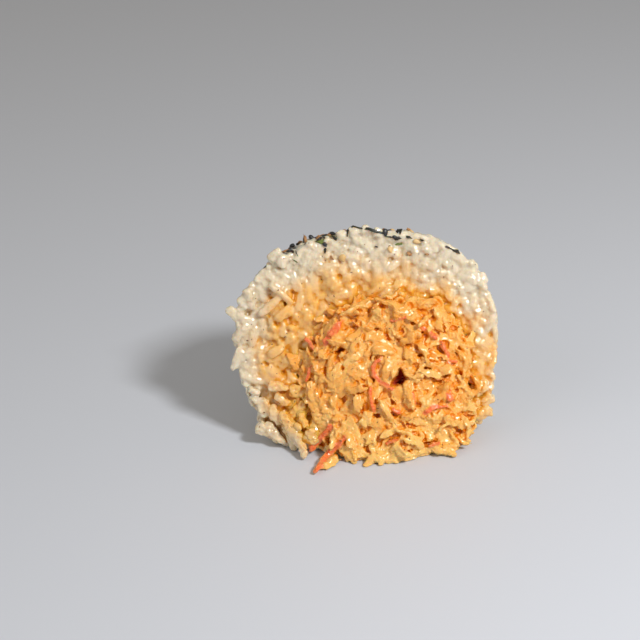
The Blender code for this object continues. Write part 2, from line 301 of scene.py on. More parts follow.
def ball_field(point):
    """Under 1 inside the ball, 1 on its skin, over 1 outside."""
    offset = point - BALL_CENTRE
    upper = offset.z > 0
    power = TOP_POWER if upper else BASE_POWER
    half_height = BALL_TOP_HEIGHT if upper else BALL_BASE_HEIGHT
    half_width = BALL_HALF_WIDTH
    if not upper:
        tuck = LEFT_TUCK if offset.x < 0 else RIGHT_TUCK
        half_width *= 1 - tuck * min(1.0, -offset.z / offset.length)
    girth = (
        abs(offset.x / half_width) ** GIRTH_POWER
        + abs(offset.y / BALL_HALF_DEPTH) ** GIRTH_POWER
    )
    lump = 1 + LUMP_SHARE * noise.noise(offset.normalized() * LUMP_SCALE)
    whole = girth ** (power / GIRTH_POWER) + abs(offset.z / half_height) ** power
    return whole ** (1 / power) / lump


def crab_field(point):
    offset = point - CRAB_CENTRE
    shares = (abs(offset[i] / CRAB_HALF_SIZES[i]) ** CRAB_POWER for i in range(3))
    return sum(shares) ** (1 / CRAB_POWER)


def mound_field(point):
    offset = point - MOUND_CENTRE
    return math.sqrt(sum((offset[i] / MOUND_HALF_SIZES[i]) ** 2 for i in range(3)))


print("ball width in mm", round(2 * BALL_HALF_WIDTH / MM, 1))

# %% [markdown]
# The broken face is a plane that leans back. The filling stands out of it, most at its foot and in
# its middle. A second plane that leans back further, with a bulge, a fall to the sides and some lumps
# added, says how far.

# %% Broken faces
CRAB_SIDE_FALL = 0.55
CRAB_BULGE = 2.2 * MM
CRAB_LUMP = 1.6 * MM
CRAB_LUMP_SIZE = 9.0 * MM


class Face:
    """A broken face: a plane that leans back about a line along X at its foot."""

    def __init__(self, ahead, lean):
        self.foot = Vector((0, BALL_CENTRE.y - ahead, 0))
        self.up = Vector((0, math.sin(lean), math.cos(lean)))
        self.normal = Vector((0, -math.cos(lean), math.sin(lean)))

    def point(self, across, up):
        return self.foot + Vector((across, 0, 0)) + self.up * up

    def height_over(self, point):
        return (point - self.foot).dot(self.normal)

    def dropped_onto(self, point):
        return point - self.normal * self.height_over(point)


RICE_FACE = Face(5.5 * MM, math.radians(15.0))
CRAB_FACE = Face(15.5 * MM, math.radians(26.0))


def front_height(point):
    """How far the filling's lumpy front stands before the torn face near a point."""
    spot = RICE_FACE.dropped_onto(point)
    gap = -CRAB_FACE.height_over(spot) / RICE_FACE.normal.dot(CRAB_FACE.normal)
    share = (spot.x - CRAB_CENTRE.x) / CRAB_HALF_SIZES.x
    lump = noise.noise(spot / CRAB_LUMP_SIZE) * CRAB_LUMP
    return (gap + CRAB_BULGE) * (1 - CRAB_SIDE_FALL * share**2) + lump


for height in (5, 20, 35):
    stands = front_height(RICE_FACE.point(CRAB_CENTRE.x, height * MM)) / MM
    print("at", height, "mm the filling stands out by mm", round(stands, 1))

# %% [markdown]
# ## Shaping by hand-made meshes
#
# Each core starts from an icosphere whose points are moved onto a form. What is in front of a plane
# is cut away, and the cut is closed, so that the core stays one solid.

# %% Mesh helpers
SEED = 27
TOUCHING = 1e-6


def add_object(name, mesh):
    made = bpy.data.objects.new(name, mesh)
    bpy.context.scene.collection.objects.link(made)
    return made


def mesh_from(name, bm):
    bmesh.ops.triangulate(bm, faces=bm.faces)
    bmesh.ops.recalc_face_normals(bm, faces=bm.faces)
    made = bpy.data.meshes.new(name)
    bm.to_mesh(made)
    bm.free()
    return made


def cut_flat(bm, point, normal):
    """Takes away what lies on the normal's side of a plane, and closes the cut."""
    geometry = bm.verts[:] + bm.edges[:] + bm.faces[:]
    bmesh.ops.bisect_plane(
        bm, geom=geometry, dist=TOUCHING, plane_co=point, plane_no=normal, clear_outer=True
    )
    rim = [edge for edge in bm.edges if edge.is_boundary]
    bmesh.ops.holes_fill(bm, edges=rim, sides=0)


def form_mesh(field, centre, inset, fineness):
    """A closed skin of a form, moved in by inset."""
    bm = bmesh.new()
    bmesh.ops.create_icosphere(bm, subdivisions=fineness, radius=1)
    for vert in bm.verts:
        direction = vert.co.normalized()
        reach = 1 / field(centre + direction)
        vert.co = centre + direction * (reach - inset)
    return bm


print("seed", SEED)

# %% [markdown]
# A hollow with curved walls is beyond such a cut. A Boolean modifier makes it, and its `MANIFOLD`
# solver is quick on dense meshes. Once its result is taken as the object's own mesh, the modifier can
# go.

# %% Modifiers and hollows


def applied(obj):
    """Gives the object the mesh that its modifiers make, and clears them."""
    graph = bpy.context.evaluated_depsgraph_get()
    made = bpy.data.meshes.new_from_object(obj.evaluated_get(graph))
    obj.modifiers.clear()
    obj.data = made
    return obj


def taken_away(obj, cutter_mesh):
    cutter = add_object("cutter", cutter_mesh)
    modifier = obj.modifiers.new("cut", "BOOLEAN")
    modifier.operation = "DIFFERENCE"
    modifier.solver = "MANIFOLD"
    modifier.object = cutter
    applied(obj)
    bpy.data.objects.remove(cutter)
    return obj


print("hollows ready")

# %% [markdown]
# ## The numbers of a mesh
#
# A mesh of a hundred thousand points is slow to walk through point by point. Blender hands over all
# its numbers at once as an array, and takes them back the same way. A number that belongs to each
# point, such as how deep it lies in a crease, is kept on the mesh as an attribute. The lesson calls it
# a mark, and a finish reads it by its name. Noise of several sizes is added up in one place too.

# %% Arrays and marks


def array_of(mesh, kind, width):
    """Numbers of a mesh as an array: its points, normals, edges or triangles."""
    items, name, dtype = {
        "points": (mesh.vertices, "co", np.float32),
        "normals": (mesh.vertices, "normal", np.float32),
        "edges": (mesh.edges, "vertices", np.int32),
        "triangles": (mesh.loop_triangles, "vertices", np.int32),
    }[kind]
    flat = np.empty(len(items) * width, dtype)
    items.foreach_get(name, flat)
    return flat.reshape(-1, width)


def add_mark(mesh, name, values):
    """Writes one number to each point of a mesh, for its finish to read."""
    mesh.attributes.new(name, "FLOAT", "POINT").data.foreach_set(
        "value", np.asarray(values, np.float32)
    )


def layered_noise(point, layers):
    """Noise of several sizes added up. Each layer is a strength and a size."""
    return sum(strength * noise.noise(point / size) for strength, size in layers)


print("arrays ready")

# %% [markdown]
# ## Scattering things over a surface
#
# Grains, shreds and seeds all have to be spread evenly but not in rows. The rule is the same for all:
# pick spots over the surface by area, and keep one only if it isn't too near another. A grid of cells
# makes that test quick.

# %% Scattering


class Room:
    """Keeps spots apart. It only looks at the cells round the new spot."""

    def __init__(self, cell):
        self.cell, self.taken = cell, {}

    def takes(self, spot, distance):
        home = [math.floor(value / self.cell) for value in spot]
        for x in range(home[0] - 1, home[0] + 2):
            for y in range(home[1] - 1, home[1] + 2):
                for z in range(home[2] - 1, home[2] + 2):
                    for other in self.taken.get((x, y, z), ()):
                        if (other - spot).length < distance:
                            return False
        self.taken.setdefault(tuple(home), []).append(spot)
        return True


def scattered(mesh, spacing, wanted, seed, tries=24, spread=0.15):
    """(spot, normal) pairs over the part of a mesh where wanted says so, a spacing apart."""
    mesh.calc_loop_triangles()
    corners = array_of(mesh, "points", 3)[array_of(mesh, "triangles", 3)]
    cross = np.cross(corners[:, 1] - corners[:, 0], corners[:, 2] - corners[:, 0])
    sizes = np.linalg.norm(cross, axis=1)
    count = int(sizes.sum() / 2 / spacing**2 * tries)
    draw = np.random.default_rng(seed)
    chosen = draw.choice(len(sizes), count, p=sizes / sizes.sum())
    shares = draw.random((count, 2))
    over = shares.sum(axis=1) > 1
    shares[over] = 1 - shares[over]
    first, second, third = (corners[chosen, i] for i in range(3))
    spots = first + (second - first) * shares[:, :1] + (third - first) * shares[:, 1:]
    normals = cross[chosen] / sizes[chosen, None]
    distances = spacing * (1 + spread * (2 * draw.random(count) - 1))
    room = Room(spacing * (1 + spread))
    found = []
    for spot, normal, distance in zip(spots, normals, distances):
        spot, normal = Vector(spot), Vector(normal)
        if wanted(spot, normal) and room.takes(spot, distance):
            found.append((spot, normal))
    return found


def lying(spot, normal, draw, tilt, size=(1, 1, 1)):
    """A matrix that lays a piece's length across the normal, at random, tipped by up to tilt."""
    side = normal.orthogonal().normalized()
    side.rotate(Matrix.Rotation(draw.uniform(0, 2 * math.pi), 3, normal))
    across = normal.cross(side)
    tip = Matrix.Rotation(draw.uniform(-tilt, tilt), 3, across)
    turn = Matrix((tip @ side, across, tip @ normal)).transposed().to_4x4()
    return Matrix.Translation(spot) @ turn @ Matrix.Diagonal((*size, 1))


print("scatter ready")

# %% [markdown]
# ## Many copies in one mesh
#
# A heap of a thousand objects is slow to handle and to export, so all seeds or grains of a kind are
# one mesh: the points of each copy are turned and moved by its matrix, and put one after the other.

# %% Copies
# Multiples of this share never bunch between 0 and 1, so neighbours in a list get unlike numbers.
GOLDEN_SHARE = 0.6180339


def joined(name, shapes, laid):
    """One mesh of many copies. laid holds (shape's number, matrix) for each copy.

    Each point keeps a mark of its own copy, from 0 to 1.
    """
    points, faces, tints = [], [], []
    start = 0
    for number, (kind, matrix) in enumerate(laid):
        shape = shapes[kind]
        turned = shape["points"] @ np.array(matrix.to_3x3()).T + np.array(matrix.translation)
        points.append(turned)
        faces.append(shape["faces"] + start)
        start += len(turned)
        tints.append(np.full(len(turned), number * GOLDEN_SHARE % 1))
    points, faces = np.concatenate(points), np.concatenate(faces)
    mesh = bpy.data.meshes.new(name)
    mesh.vertices.add(len(points))
    mesh.vertices.foreach_set("co", points.astype(np.float32).ravel())
    mesh.loops.add(faces.size)
    mesh.loops.foreach_set("vertex_index", faces.astype(np.int32).ravel())
    mesh.polygons.add(len(faces))
    mesh.polygons.foreach_set("loop_start", np.arange(0, faces.size, 3, dtype=np.int32))
    mesh.update(calc_edges=True)
    mesh.shade_smooth()
    add_mark(mesh, "tint", np.concatenate(tints))
    return mesh


print("copies ready")

# %% [markdown]
# Grains, shreds, seeds and flakes are all stacks of rings of points, with a point at each end. One
# helper joins each ring to the next by triangles. It also keeps the middle of each ring and the way
# the shape runs there, to find later which shape a place belongs to.

# %% Rings


def shape_from(rings, tips):
    """A closed shape from rings of points, ordered along X, and its two end points."""
    count, sides = len(rings), len(rings[0])
    points = np.concatenate([np.concatenate(rings), tips])
    ring, side = np.divmod(np.arange((count - 1) * sides), sides)
    near, far = ring * sides + side, ring * sides + (side + 1) % sides
    faces = np.concatenate([
        np.stack([near, far, near + sides], axis=1),
        np.stack([far, far + sides, near + sides], axis=1),
    ])
    ends = []
    for i in range(sides):
        after = (i + 1) % sides
        ends.append((count * sides, after, i))
        last = (count - 1) * sides
        ends.append((count * sides + 1, last + i, last + after))
    middles = np.array([ring.mean(axis=0) for ring in rings])
    return {
        "points": points,
        "faces": np.concatenate([faces, np.array(ends)]),
        "middles": middles,
        "courses": np.gradient(middles, axis=0),
    }


print("rings ready")

# %% [markdown]
# ## One cooked grain
#
# Short rice cooks into a plump grain about 7 mm long and less than half as wide, blunt at both ends
# and a little narrower at one, with a slight bend. A few differently bent grains, turned and scaled
# at random, are enough for a whole ball. The grain is a stack of rings whose size follows a blunt
# curve, so it has no pinched ends as a stretched sphere would, and each ring is a little out of round.
# Packed grains have few sides. The loose ones in front have more, because they show whole.

# %% Grains
GRAIN_LENGTH = 7.3 * MM
GRAIN_WIDTH = 3.0 * MM
GRAIN_THICKNESS = 2.7 * MM
GRAIN_KINDS = 7
MOST_BEND = 0.75
MOST_SWAY = 0.4
NARROWING = (0.06, 0.2)
FLATTENING = (0.88, 1.06)
# The higher this power, the blunter a grain's ends.
GRAIN_BLUNTNESS = 5
OVAL_SHARE = 0.1
THREE_SIDED_SHARE = 0.07


def grain_shape(draw, rings, sides):
    """A closed grain along X, made of this many rings of this many points."""
    bend = draw.uniform(0.0, MOST_BEND) * MM
    sideways = draw.uniform(-MOST_SWAY, MOST_SWAY) * MM
    narrowing = draw.uniform(*NARROWING)
    flat = draw.uniform(*FLATTENING)
    start, twist = draw.uniform(0, 6), draw.uniform(-1.5, 1.5)
    made = []
    for i in range(rings):
        place = -math.cos(math.pi * (i + 1) / (rings + 1))
        girth = (1 - abs(place) ** GRAIN_BLUNTNESS) ** 0.5 * (1 - narrowing * place)
        middle = np.array((place / 2, 0, 0)) * GRAIN_LENGTH
        middle[1] = sideways * (1 - place**2)
        middle[2] = bend * (0.5 - place**2)
        angles = np.arange(sides) * 2 * math.pi / sides
        squash = 1 + OVAL_SHARE * np.cos(2 * angles + start + twist * place)
        squash += THREE_SIDED_SHARE * np.cos(3 * angles - start + 2 * place)
        ring = np.zeros((sides, 3))
        ring[:, 1] = np.cos(angles) * girth * squash * GRAIN_WIDTH / 2
        ring[:, 2] = np.sin(angles) * girth * squash * GRAIN_THICKNESS / 2 * flat
        made.append(ring + middle)
    tips = np.array([(-GRAIN_LENGTH / 2, 0, -bend / 2), (GRAIN_LENGTH / 2, 0, -bend / 2)])
    return shape_from(made, tips)


grain_draw = random.Random(SEED)
grain_shapes = [grain_shape(grain_draw, 9, 10) for _ in range(GRAIN_KINDS)]
fine_grain_shapes = [grain_shape(grain_draw, 23, 20) for _ in range(GRAIN_KINDS)]
print("grain kinds", len(grain_shapes), "triangles each", len(grain_shapes[0]["faces"]))

# %% [markdown]
# ## Packing the grains
#
# Pressed rice is a packing problem: the grains touch, turn each other and fill the room under the
# palm. Throwing them at random leaves crossings that no real grain has. A rigid body simulation
# would pack them, but it is slow and hard to keep inside a form. Here each grain is a short row of
# four balls. Balls of different grains push each other apart a little at a time, and the skin, the
# broken face, the filling and the floor push back. After some thirty rounds the grains lie side by
# side as they do in the hand.

# %% Where rice may be
GRAIN_RADIUS = (GRAIN_WIDTH + GRAIN_THICKNESS) / 4
LAYER = 5.4 * MM
# The filling's form counts from this share of its size, so that the grains sink into it a little.
SEAM = 0.95
PROUD = 1.3 * MM
FLOOR_SPARE = 0.3 * MM
# Each layer of noise is its strength and its size.
FACE_RELIEF = ((1.9 * MM, 9 * MM), (0.9 * MM, 4 * MM))


def face_relief(point):
    """How far the torn face stands out of its plane: clumps, and hollows where grains fell out."""
    return layered_noise(point, FACE_RELIEF)


def over_skin(point):
    """How far a point is outside the ball's skin, along the line to its centre."""
    reach = (point - BALL_CENTRE).length
    return reach - reach / ball_field(point)


def pushed_inside(point, out):
    """The push that brings one ball of a grain back to where rice may be."""
    push = Vector((0, 0, 0))
    inward = (BALL_CENTRE - point).normalized()
    over = over_skin(point) + GRAIN_RADIUS - PROUD
    if over > 0:
        push += inward * over
    ahead = RICE_FACE.height_over(point) - face_relief(point) + GRAIN_RADIUS
    if ahead > 0:
        push -= RICE_FACE.normal * ahead
    if over < -LAYER and ahead < -LAYER:
        push -= out * (max(over, ahead) + LAYER)
    inside = SEAM - crab_field(point)
    if inside > 0:
        push += (point - CRAB_CENTRE).normalized() * inside * CRAB_HALF_SIZES.x
    low = FLOOR_SPARE + GRAIN_RADIUS - point.z
    if low > 0:
        push.z += low
    return push


print("ball radius in a grain, mm", round(GRAIN_RADIUS / MM, 2))

# %% [markdown]
# Each round finds the pairs of balls that are too near with a tree, because to try all pairs would
# take far too long. The mean push of a grain's balls moves it, and the difference between its ends
# turns it. The balls may overlap a little, as pressed grains flatten against each other.

# %% Packing
BALLS = np.linspace(-1, 1, 4) * (GRAIN_LENGTH / 2 - GRAIN_RADIUS)
PRESS = 0.84
ROUNDS = 32


def packed(places, outs, axes):
    """Settles grains, and returns their places and axes. outs say which way each faces."""
    places, axes = np.array(places), np.array(axes)
    owners = np.repeat(np.arange(len(places)), len(BALLS))
    nearest = 2 * GRAIN_RADIUS * PRESS
    for _ in range(ROUNDS):
        balls = (places[:, None] + axes[:, None] * BALLS[None, :, None]).reshape(-1, 3)
        tree = kdtree.KDTree(len(balls))
        for i, ball in enumerate(balls):
            tree.insert(ball, i)
        tree.balance()
        pushes = np.zeros_like(balls)
        for i, ball in enumerate(balls):
            for other, j, distance in tree.find_range(ball, nearest):
                if owners[i] < owners[j] and distance > 0:
                    push = (ball - np.array(other)) * (nearest / distance - 1) / 2
                    pushes[i] += push
                    pushes[j] -= push
        for i, ball in enumerate(balls):
            pushes[i] += pushed_inside(Vector(ball), outs[owners[i]])
        pushes = pushes.reshape(-1, len(BALLS), 3)
        places = places + pushes.mean(axis=1)
        turns = (pushes * BALLS[None, :, None]).sum(axis=1) / (BALLS**2).sum()
        axes = axes + turns
        axes /= np.linalg.norm(axes, axis=1)[:, None]
    return places, axes


def laid_along(place, axis, out, size):
    """A matrix that lays a grain along an axis with its broad side towards out."""
    axis = Vector(axis)
    side = out.cross(axis).normalized()
    turn = Matrix((axis, side, axis.cross(side))).transposed().to_4x4()
    return Matrix.Translation(Vector(place)) @ turn @ Matrix.Diagonal((size, size, size, 1))


print("rounds", ROUNDS, "balls in a grain", len(BALLS))

# %% [markdown]
# The grains start as one loose layer under the skin, and two behind the broken face. On the skin
# they lie flat, because a hand pressed them. On the broken face they point every way.

# %% The grains of the ball
OUTER_SPACING = 3.1 * MM
FACE_SPACING = 3.1 * MM
SKIN_TILT = math.radians(20)
FACE_TILT = math.radians(80)
SIZE_SPREAD = 0.14
MEAN_SIZE = 1.04
EDGE_ROOM = 1.5 * MM
NEAR_FILLING = 0.9
PLANE_HALF_WIDTH = 45 * MM
PLANE_HALF_HEIGHT = 38 * MM
PLANE_MIDDLE = 32 * MM

skin = mesh_from("skin", form_mesh(ball_field, BALL_CENTRE, 0, 5))
bm = bmesh.new()
bmesh.ops.create_grid(bm, x_segments=1, y_segments=1, size=1)
for vert in bm.verts:
    up = PLANE_MIDDLE + vert.co.y * PLANE_HALF_HEIGHT
    vert.co = RICE_FACE.point(vert.co.x * PLANE_HALF_WIDTH, up)
torn_plane = mesh_from("torn_plane", bm)


def on_skin(spot, normal):
    return RICE_FACE.height_over(spot) < -EDGE_ROOM and spot.z > EDGE_ROOM


def on_torn_face(spot, normal):
    return ball_field(spot) < 1 and crab_field(spot) > NEAR_FILLING and spot.z > EDGE_ROOM


grain_draw = random.Random(SEED + 1)
places, outs, axes = [], [], []
# Each layer is a surface, the spacing on it, where it is wanted, its depth and its tilt.
layers = [
    (skin, OUTER_SPACING, on_skin, 0.5 * MM, SKIN_TILT),
    (torn_plane, FACE_SPACING, on_torn_face, 1.4 * MM, FACE_TILT),
    (torn_plane, FACE_SPACING, on_torn_face, 4.2 * MM, FACE_TILT),
]
for number, (surface, spacing, wanted, depth, tilt) in enumerate(layers):
    for spot, normal in scattered(surface, spacing, wanted, SEED + number):
        out = RICE_FACE.normal if surface is torn_plane else normal
        laid = lying(spot, out, grain_draw, tilt)
        places.append(spot - out * depth)
        outs.append(out)
        axes.append(laid.col[0].xyz)
places, axes = packed(places, outs, axes)
grains = []
for number, (place, axis, out) in enumerate(zip(places, axes, outs)):
    size = MEAN_SIZE + grain_draw.uniform(-SIZE_SPREAD, SIZE_SPREAD)
    grains.append((number % GRAIN_KINDS, laid_along(place, axis, out, size)))
print("grains", len(grains))

# %% [markdown]
# ## Grains that can be told apart
#
# Some grains stand out of the packing: they hang off the left edge, lie across the torn face, line
# the rim, and lean on each other at the left of the base. A random packing never puts them there, so
# each is set by the pixels of its two ends. Those near the base have come off and will be a piece of
# their own. The others still stick to the ball.

# %% Grains seen one by one
# From this pixel row down the grains have come off.
LOOSE_FROM = 380
# Each row is the pixels of a grain's ends, its width as a share of a grain's, and how far in mm it
# lies in front of the torn face.
LOOSE_GRAINS = (
    ((227, 307), (240, 322), 0.95, -1.5),
    ((239, 297), (246, 310), 0.9, -1.0),
    ((244, 289), (251, 302), 0.9, 0.0),
    ((241, 347), (232, 371), 0.85, -1.0),
    ((241, 368), (246, 388), 0.75, -1.0),
    ((248, 389), (260, 395), 0.85, 0.0),
    ((249, 397), (265, 402), 0.7, 0.0),
    ((259, 402), (268, 418), 0.9, 0.0),
    ((257, 425), (270, 433), 1.35, 0.3),
    ((265, 423), (277, 436), 1.1, 0.6),
    ((270, 405), (284, 424), 1.25, 1.0),
    ((280, 412), (303, 443), 1.3, 1.8),
    ((298, 440), (306, 457), 0.9, 2.0),
    ((289, 416), (307, 402), 1.15, 1.8),
    ((275, 394), (292, 405), 1.05, 1.3),
    ((268, 384), (288, 389), 0.95, 2.0),
    ((289, 388), (309, 395), 1.2, 1.0),
    ((262, 398), (272, 411), 0.9, 0.5),
    ((284, 426), (296, 436), 1.0, 1.0),
    ((287, 432), (301, 447), 0.95, 1.5),
    ((272, 428), (286, 443), 0.9, 0.5),
    ((301, 412), (307, 428), 1.0, 2.0),
    ((310, 428), (315, 441), 1.0, 2.4),
    ((333, 436), (343, 444), 1.1, 6.0),
    ((325, 446), (336, 448), 1.1, 5.5),
    ((269, 284), (293, 304), 0.85, 0.5),
    ((259, 316), (280, 297), 0.85, 0.5),
    ((275, 321), (290, 306), 0.9, 0.5),
    ((268, 356), (285, 347), 0.9, 0.5),
    ((268, 261), (281, 249), 1.0, -0.5),
    ((281, 268), (286, 254), 1.1, 0.5),
    ((458, 417), (479, 398), 1.3, 1.0),
    ((471, 417), (493, 409), 1.3, 1.0),
    ((480, 404), (494, 396), 1.3, 0.0),
    ((470, 392), (488, 381), 1.2, 1.5),
    ((337, 237), (347, 233), 0.95, -0.8),
    ((349, 233), (359, 230), 1.1, -0.8),
    ((361, 231), (371, 231), 1.1, -1.0),
    ((373, 232), (383, 234), 1.0, -0.8),
    ((468, 261), (478, 269), 0.9, -2.5),
    ((480, 272), (486, 284), 0.9, -2.5),
    ((486, 291), (490, 305), 0.9, -2.5),
)
print("grains seen one by one", len(LOOSE_GRAINS))

# %% [markdown]
# A ray through a pixel stops at the torn face, the mound or the floor, whichever it meets first. The
# face and the floor are planes, and a short formula gives the place. The mound needs a search tree.

# %% Places behind pixels
STAND_OFF = 0.5 * MM


def on_plane(pixel, face, ahead):
    """Where the ray through a pixel meets a face moved out by ahead."""
    direction = pixel_direction(pixel)
    height = face.height_over(camera_place) - ahead
    return camera_place - direction * (height / direction.dot(face.normal))


def on_floor(pixel, height):
    direction = pixel_direction(pixel)
    return camera_place + direction * ((height - camera_place.z) / direction.z)


bm = bmesh.new()
bmesh.ops.create_icosphere(bm, subdivisions=4, radius=1)
stretch = Matrix.Diagonal((*MOUND_HALF_SIZES, 1))
bmesh.ops.transform(bm, matrix=Matrix.Translation(MOUND_CENTRE) @ stretch, verts=bm.verts)
mound = mesh_from("mound", bm)
mound_tree = bvhtree.BVHTree.FromPolygons(
    [vert.co for vert in mound.vertices], [face.vertices for face in mound.polygons]
)


def seen_place(pixel, ahead, thickness):
    """The nearest of the torn face, the mound and the floor, along a pixel's ray."""
    there = on_plane(pixel, RICE_FACE, ahead)
    direction = pixel_direction(pixel).normalized()
    heaped = mound_tree.ray_cast(camera_place, direction)[0]
    if heaped is not None and (heaped - there).dot(direction) < 0:
        there = heaped - direction * STAND_OFF
    floor_height = thickness / 2 + FLOOR_SPARE
    return there if there.z > floor_height else on_floor(pixel, floor_height)


print("points of the mound", len(mound.vertices))

# %% [markdown]
# A seen grain is laid between the places of its two ends. More grains are scattered over the mound at
# random, so that the seen ones don't lie on a bare slope.

# %% Laying the grains
MOUND_SPACING = 3.7 * MM
MOUND_SINK = 0.7 * MM
MOUND_TILT = math.radians(35)
CLEAR_OF_FILLING = 1.02

loose_grains, rim_grains = [], []
for number, (start, end, share, ahead) in enumerate(LOOSE_GRAINS):
    thickness = GRAIN_THICKNESS * share
    first = seen_place(start, ahead * MM, thickness)
    last = seen_place(end, ahead * MM, thickness)
    matrix = laid_along((first + last) / 2, (last - first).normalized(), RICE_FACE.normal, 1)
    length_share = (last - first).length / GRAIN_LENGTH
    shaped = matrix @ Matrix.Diagonal((length_share, share, share, 1))
    group = loose_grains if min(start[1], end[1]) > LOOSE_FROM else rim_grains
    group.append((number % GRAIN_KINDS, shaped))


def on_mound(spot, normal):
    clear = crab_field(spot) > CLEAR_OF_FILLING
    return RICE_FACE.height_over(spot) > 0 and clear and spot.z > EDGE_ROOM


mound_grains = []
for spot, normal in scattered(mound, MOUND_SPACING, on_mound, SEED + 7):
    laid = lying(spot - normal * MOUND_SINK, normal, grain_draw, MOUND_TILT)
    mound_grains.append((len(mound_grains) % GRAIN_KINDS, laid))
print("loose", len(loose_grains), "sticking", len(rim_grains), "on the mound", len(mound_grains))

# %% [markdown]
# ## Fusing grains into sticky rice
#
# Sticky rice has no hard crossings: starch bridges the gap where two grains touch. Booleans would
# keep each crossing sharp. A voxel remesh rebuilds the whole heap as one skin instead. Swelling that
# skin, remeshing it again and shrinking it back shuts every gap narrower than twice the swelling,
# just as starch does. A skin that comes out too dense is thinned.

# %% Fusing
MOST_TRIANGLES = 190_000


def outer_skin(mesh):
    """Keeps the largest shell of a mesh, and drops the bubbles that are shut inside it."""
    ends = array_of(mesh, "edges", 2)
    shells, before = np.arange(len(mesh.vertices)), None
    while before is None or (shells != before).any():
        before = shells.copy()
        lower = np.minimum(shells[ends[:, 0]], shells[ends[:, 1]])
        np.minimum.at(shells, ends[:, 0], lower)
        np.minimum.at(shells, ends[:, 1], lower)
        shells = shells[shells]
    largest = np.bincount(shells).argmax()
    bm = bmesh.new()
    bm.from_mesh(mesh)
    bubbles = [vert for vert in bm.verts if shells[vert.index] != largest]
    bmesh.ops.delete(bm, geom=bubbles, context="VERTS")
    bm.to_mesh(mesh)
    bm.free()


def fused(name, shapes, laid, core_mesh, voxel, bridge, smoothing):
    """Laid shapes and their core as one soft skin, with each gap under two bridges shut.

    Without a core, the shapes may stay apart.
    """
    bm = bmesh.new()
    bm.from_mesh(joined(name, shapes, laid))
    if core_mesh:
        bm.from_mesh(core_mesh)
    for vert in bm.verts:
        vert.co.z = max(vert.co.z, FLOOR_SPARE)
    made = add_object(name, mesh_from(name, bm))
    for swelling in (bridge, -bridge):
        remesh = made.modifiers.new("one_skin", "REMESH")
        remesh.mode, remesh.voxel_size = "VOXEL", voxel
        swell = made.modifiers.new("swell", "DISPLACE")
        swell.strength, swell.mid_level = swelling, 0
    soften = made.modifiers.new("soften", "SMOOTH")
    soften.factor, soften.iterations = 0.5, smoothing
    applied(made)
    if core_mesh:
        outer_skin(made.data)
    made.data.calc_loop_triangles()
    thinned = made.modifiers.new("thinned", "DECIMATE")
    thinned.ratio = min(1, MOST_TRIANGLES / len(made.data.loop_triangles))
    print(name, "triangles", len(made.data.loop_triangles), "thinned by", round(thinned.ratio, 2))
    applied(made)
    made.data.shade_smooth()
    return made


print("at most", MOST_TRIANGLES, "triangles a piece")

# %% [markdown]
# ## The rice in three pieces
#
# The pressed back takes a wider bridge and more softening than the torn face, and the loose grains
# only just hold on to each other, so these are three pieces. The back and the face are each fused
# over their own part of the core, and meet behind the rim's grains. The core is the ball a little
# inside its skin, with a hollow for the filling and a smaller mound in front.

# %% The rice
RIND_DEPTH = 0.5 * MM
FACE_DEPTH = 4.7 * MM
FACE_CORE = 4.0 * MM
HOLLOW_INSET = 2.0 * MM
CORE_FLOOR = FLOOR_SPARE + 0.3 * MM
RIND_VOXEL = 0.36 * MM
FACE_VOXEL = 0.26 * MM
LOOSE_VOXEL = 0.2 * MM
RIND_BRIDGE = 0.5 * MM
FACE_BRIDGE = 0.27 * MM
LOOSE_BRIDGE = 0.1 * MM
FACE_PART = 7.5 * MM
MOUND_CORE = 0.8


def rice_core():
    """The ball inside the grains, behind the torn face and above the floor."""
    bm = form_mesh(ball_field, BALL_CENTRE, RIND_DEPTH, 5)
    behind = RICE_FACE.foot - RICE_FACE.normal * FACE_DEPTH
    cut_flat(bm, behind, RICE_FACE.normal)
    cut_flat(bm, Vector((0, 0, CORE_FLOOR)), Vector((0, 0, -1)))
    return bm


face_grains, rind_grains = [], []
for kind, matrix in grains:
    near_face = RICE_FACE.height_over(matrix.translation) > -FACE_PART
    (face_grains if near_face else rind_grains).append((kind, matrix))
face_grains += mound_grains + rim_grains

hollow = mesh_from("hollow", form_mesh(crab_field, CRAB_CENTRE, HOLLOW_INSET, 5))
core = taken_away(add_object("core", mesh_from("core", rice_core())), hollow)
bm = bmesh.new()
bm.from_mesh(core.data)
cut_flat(bm, RICE_FACE.foot - RICE_FACE.normal * (FACE_DEPTH + FACE_CORE), -RICE_FACE.normal)
shrink = Matrix.Scale(MOUND_CORE, 4)
mound.transform(Matrix.Translation(MOUND_CENTRE) @ shrink @ Matrix.Translation(-MOUND_CENTRE))
for vert in mound.vertices:
    vert.co.z = max(vert.co.z, CORE_FLOOR)
bm.from_mesh(mound)
face_core = mesh_from("face_core", bm)
pressed_rice = fused(
    "pressed_rice", grain_shapes, rind_grains, core.data, RIND_VOXEL, RIND_BRIDGE, smoothing=5
)
torn_rice = fused(
    "torn_rice", grain_shapes, face_grains, face_core, FACE_VOXEL, FACE_BRIDGE, smoothing=2
)
loose_rice = fused(
    "loose_rice", fine_grain_shapes, loose_grains, None, LOOSE_VOXEL, LOOSE_BRIDGE, smoothing=1
)
bpy.data.objects.remove(core)
print("grains of the face", len(face_grains), "of the back", len(rind_grains))

# %% [markdown]
# ## Marks for the finishes
#
# Each grain has its own shade, but in a fused skin nothing says where a grain ends. A shader can't
# measure it, so the mesh carries the number: each point takes the mark of the nearest grain. A search
# tree of all grains' middles finds it.

# %% Marks of each grain


def step(low, high, value):
    """A smooth step: 0 at low and 1 at high."""
    share = min(1.0, max(0.0, (value - low) / (high - low)))
    return share * share * (3 - 2 * share)


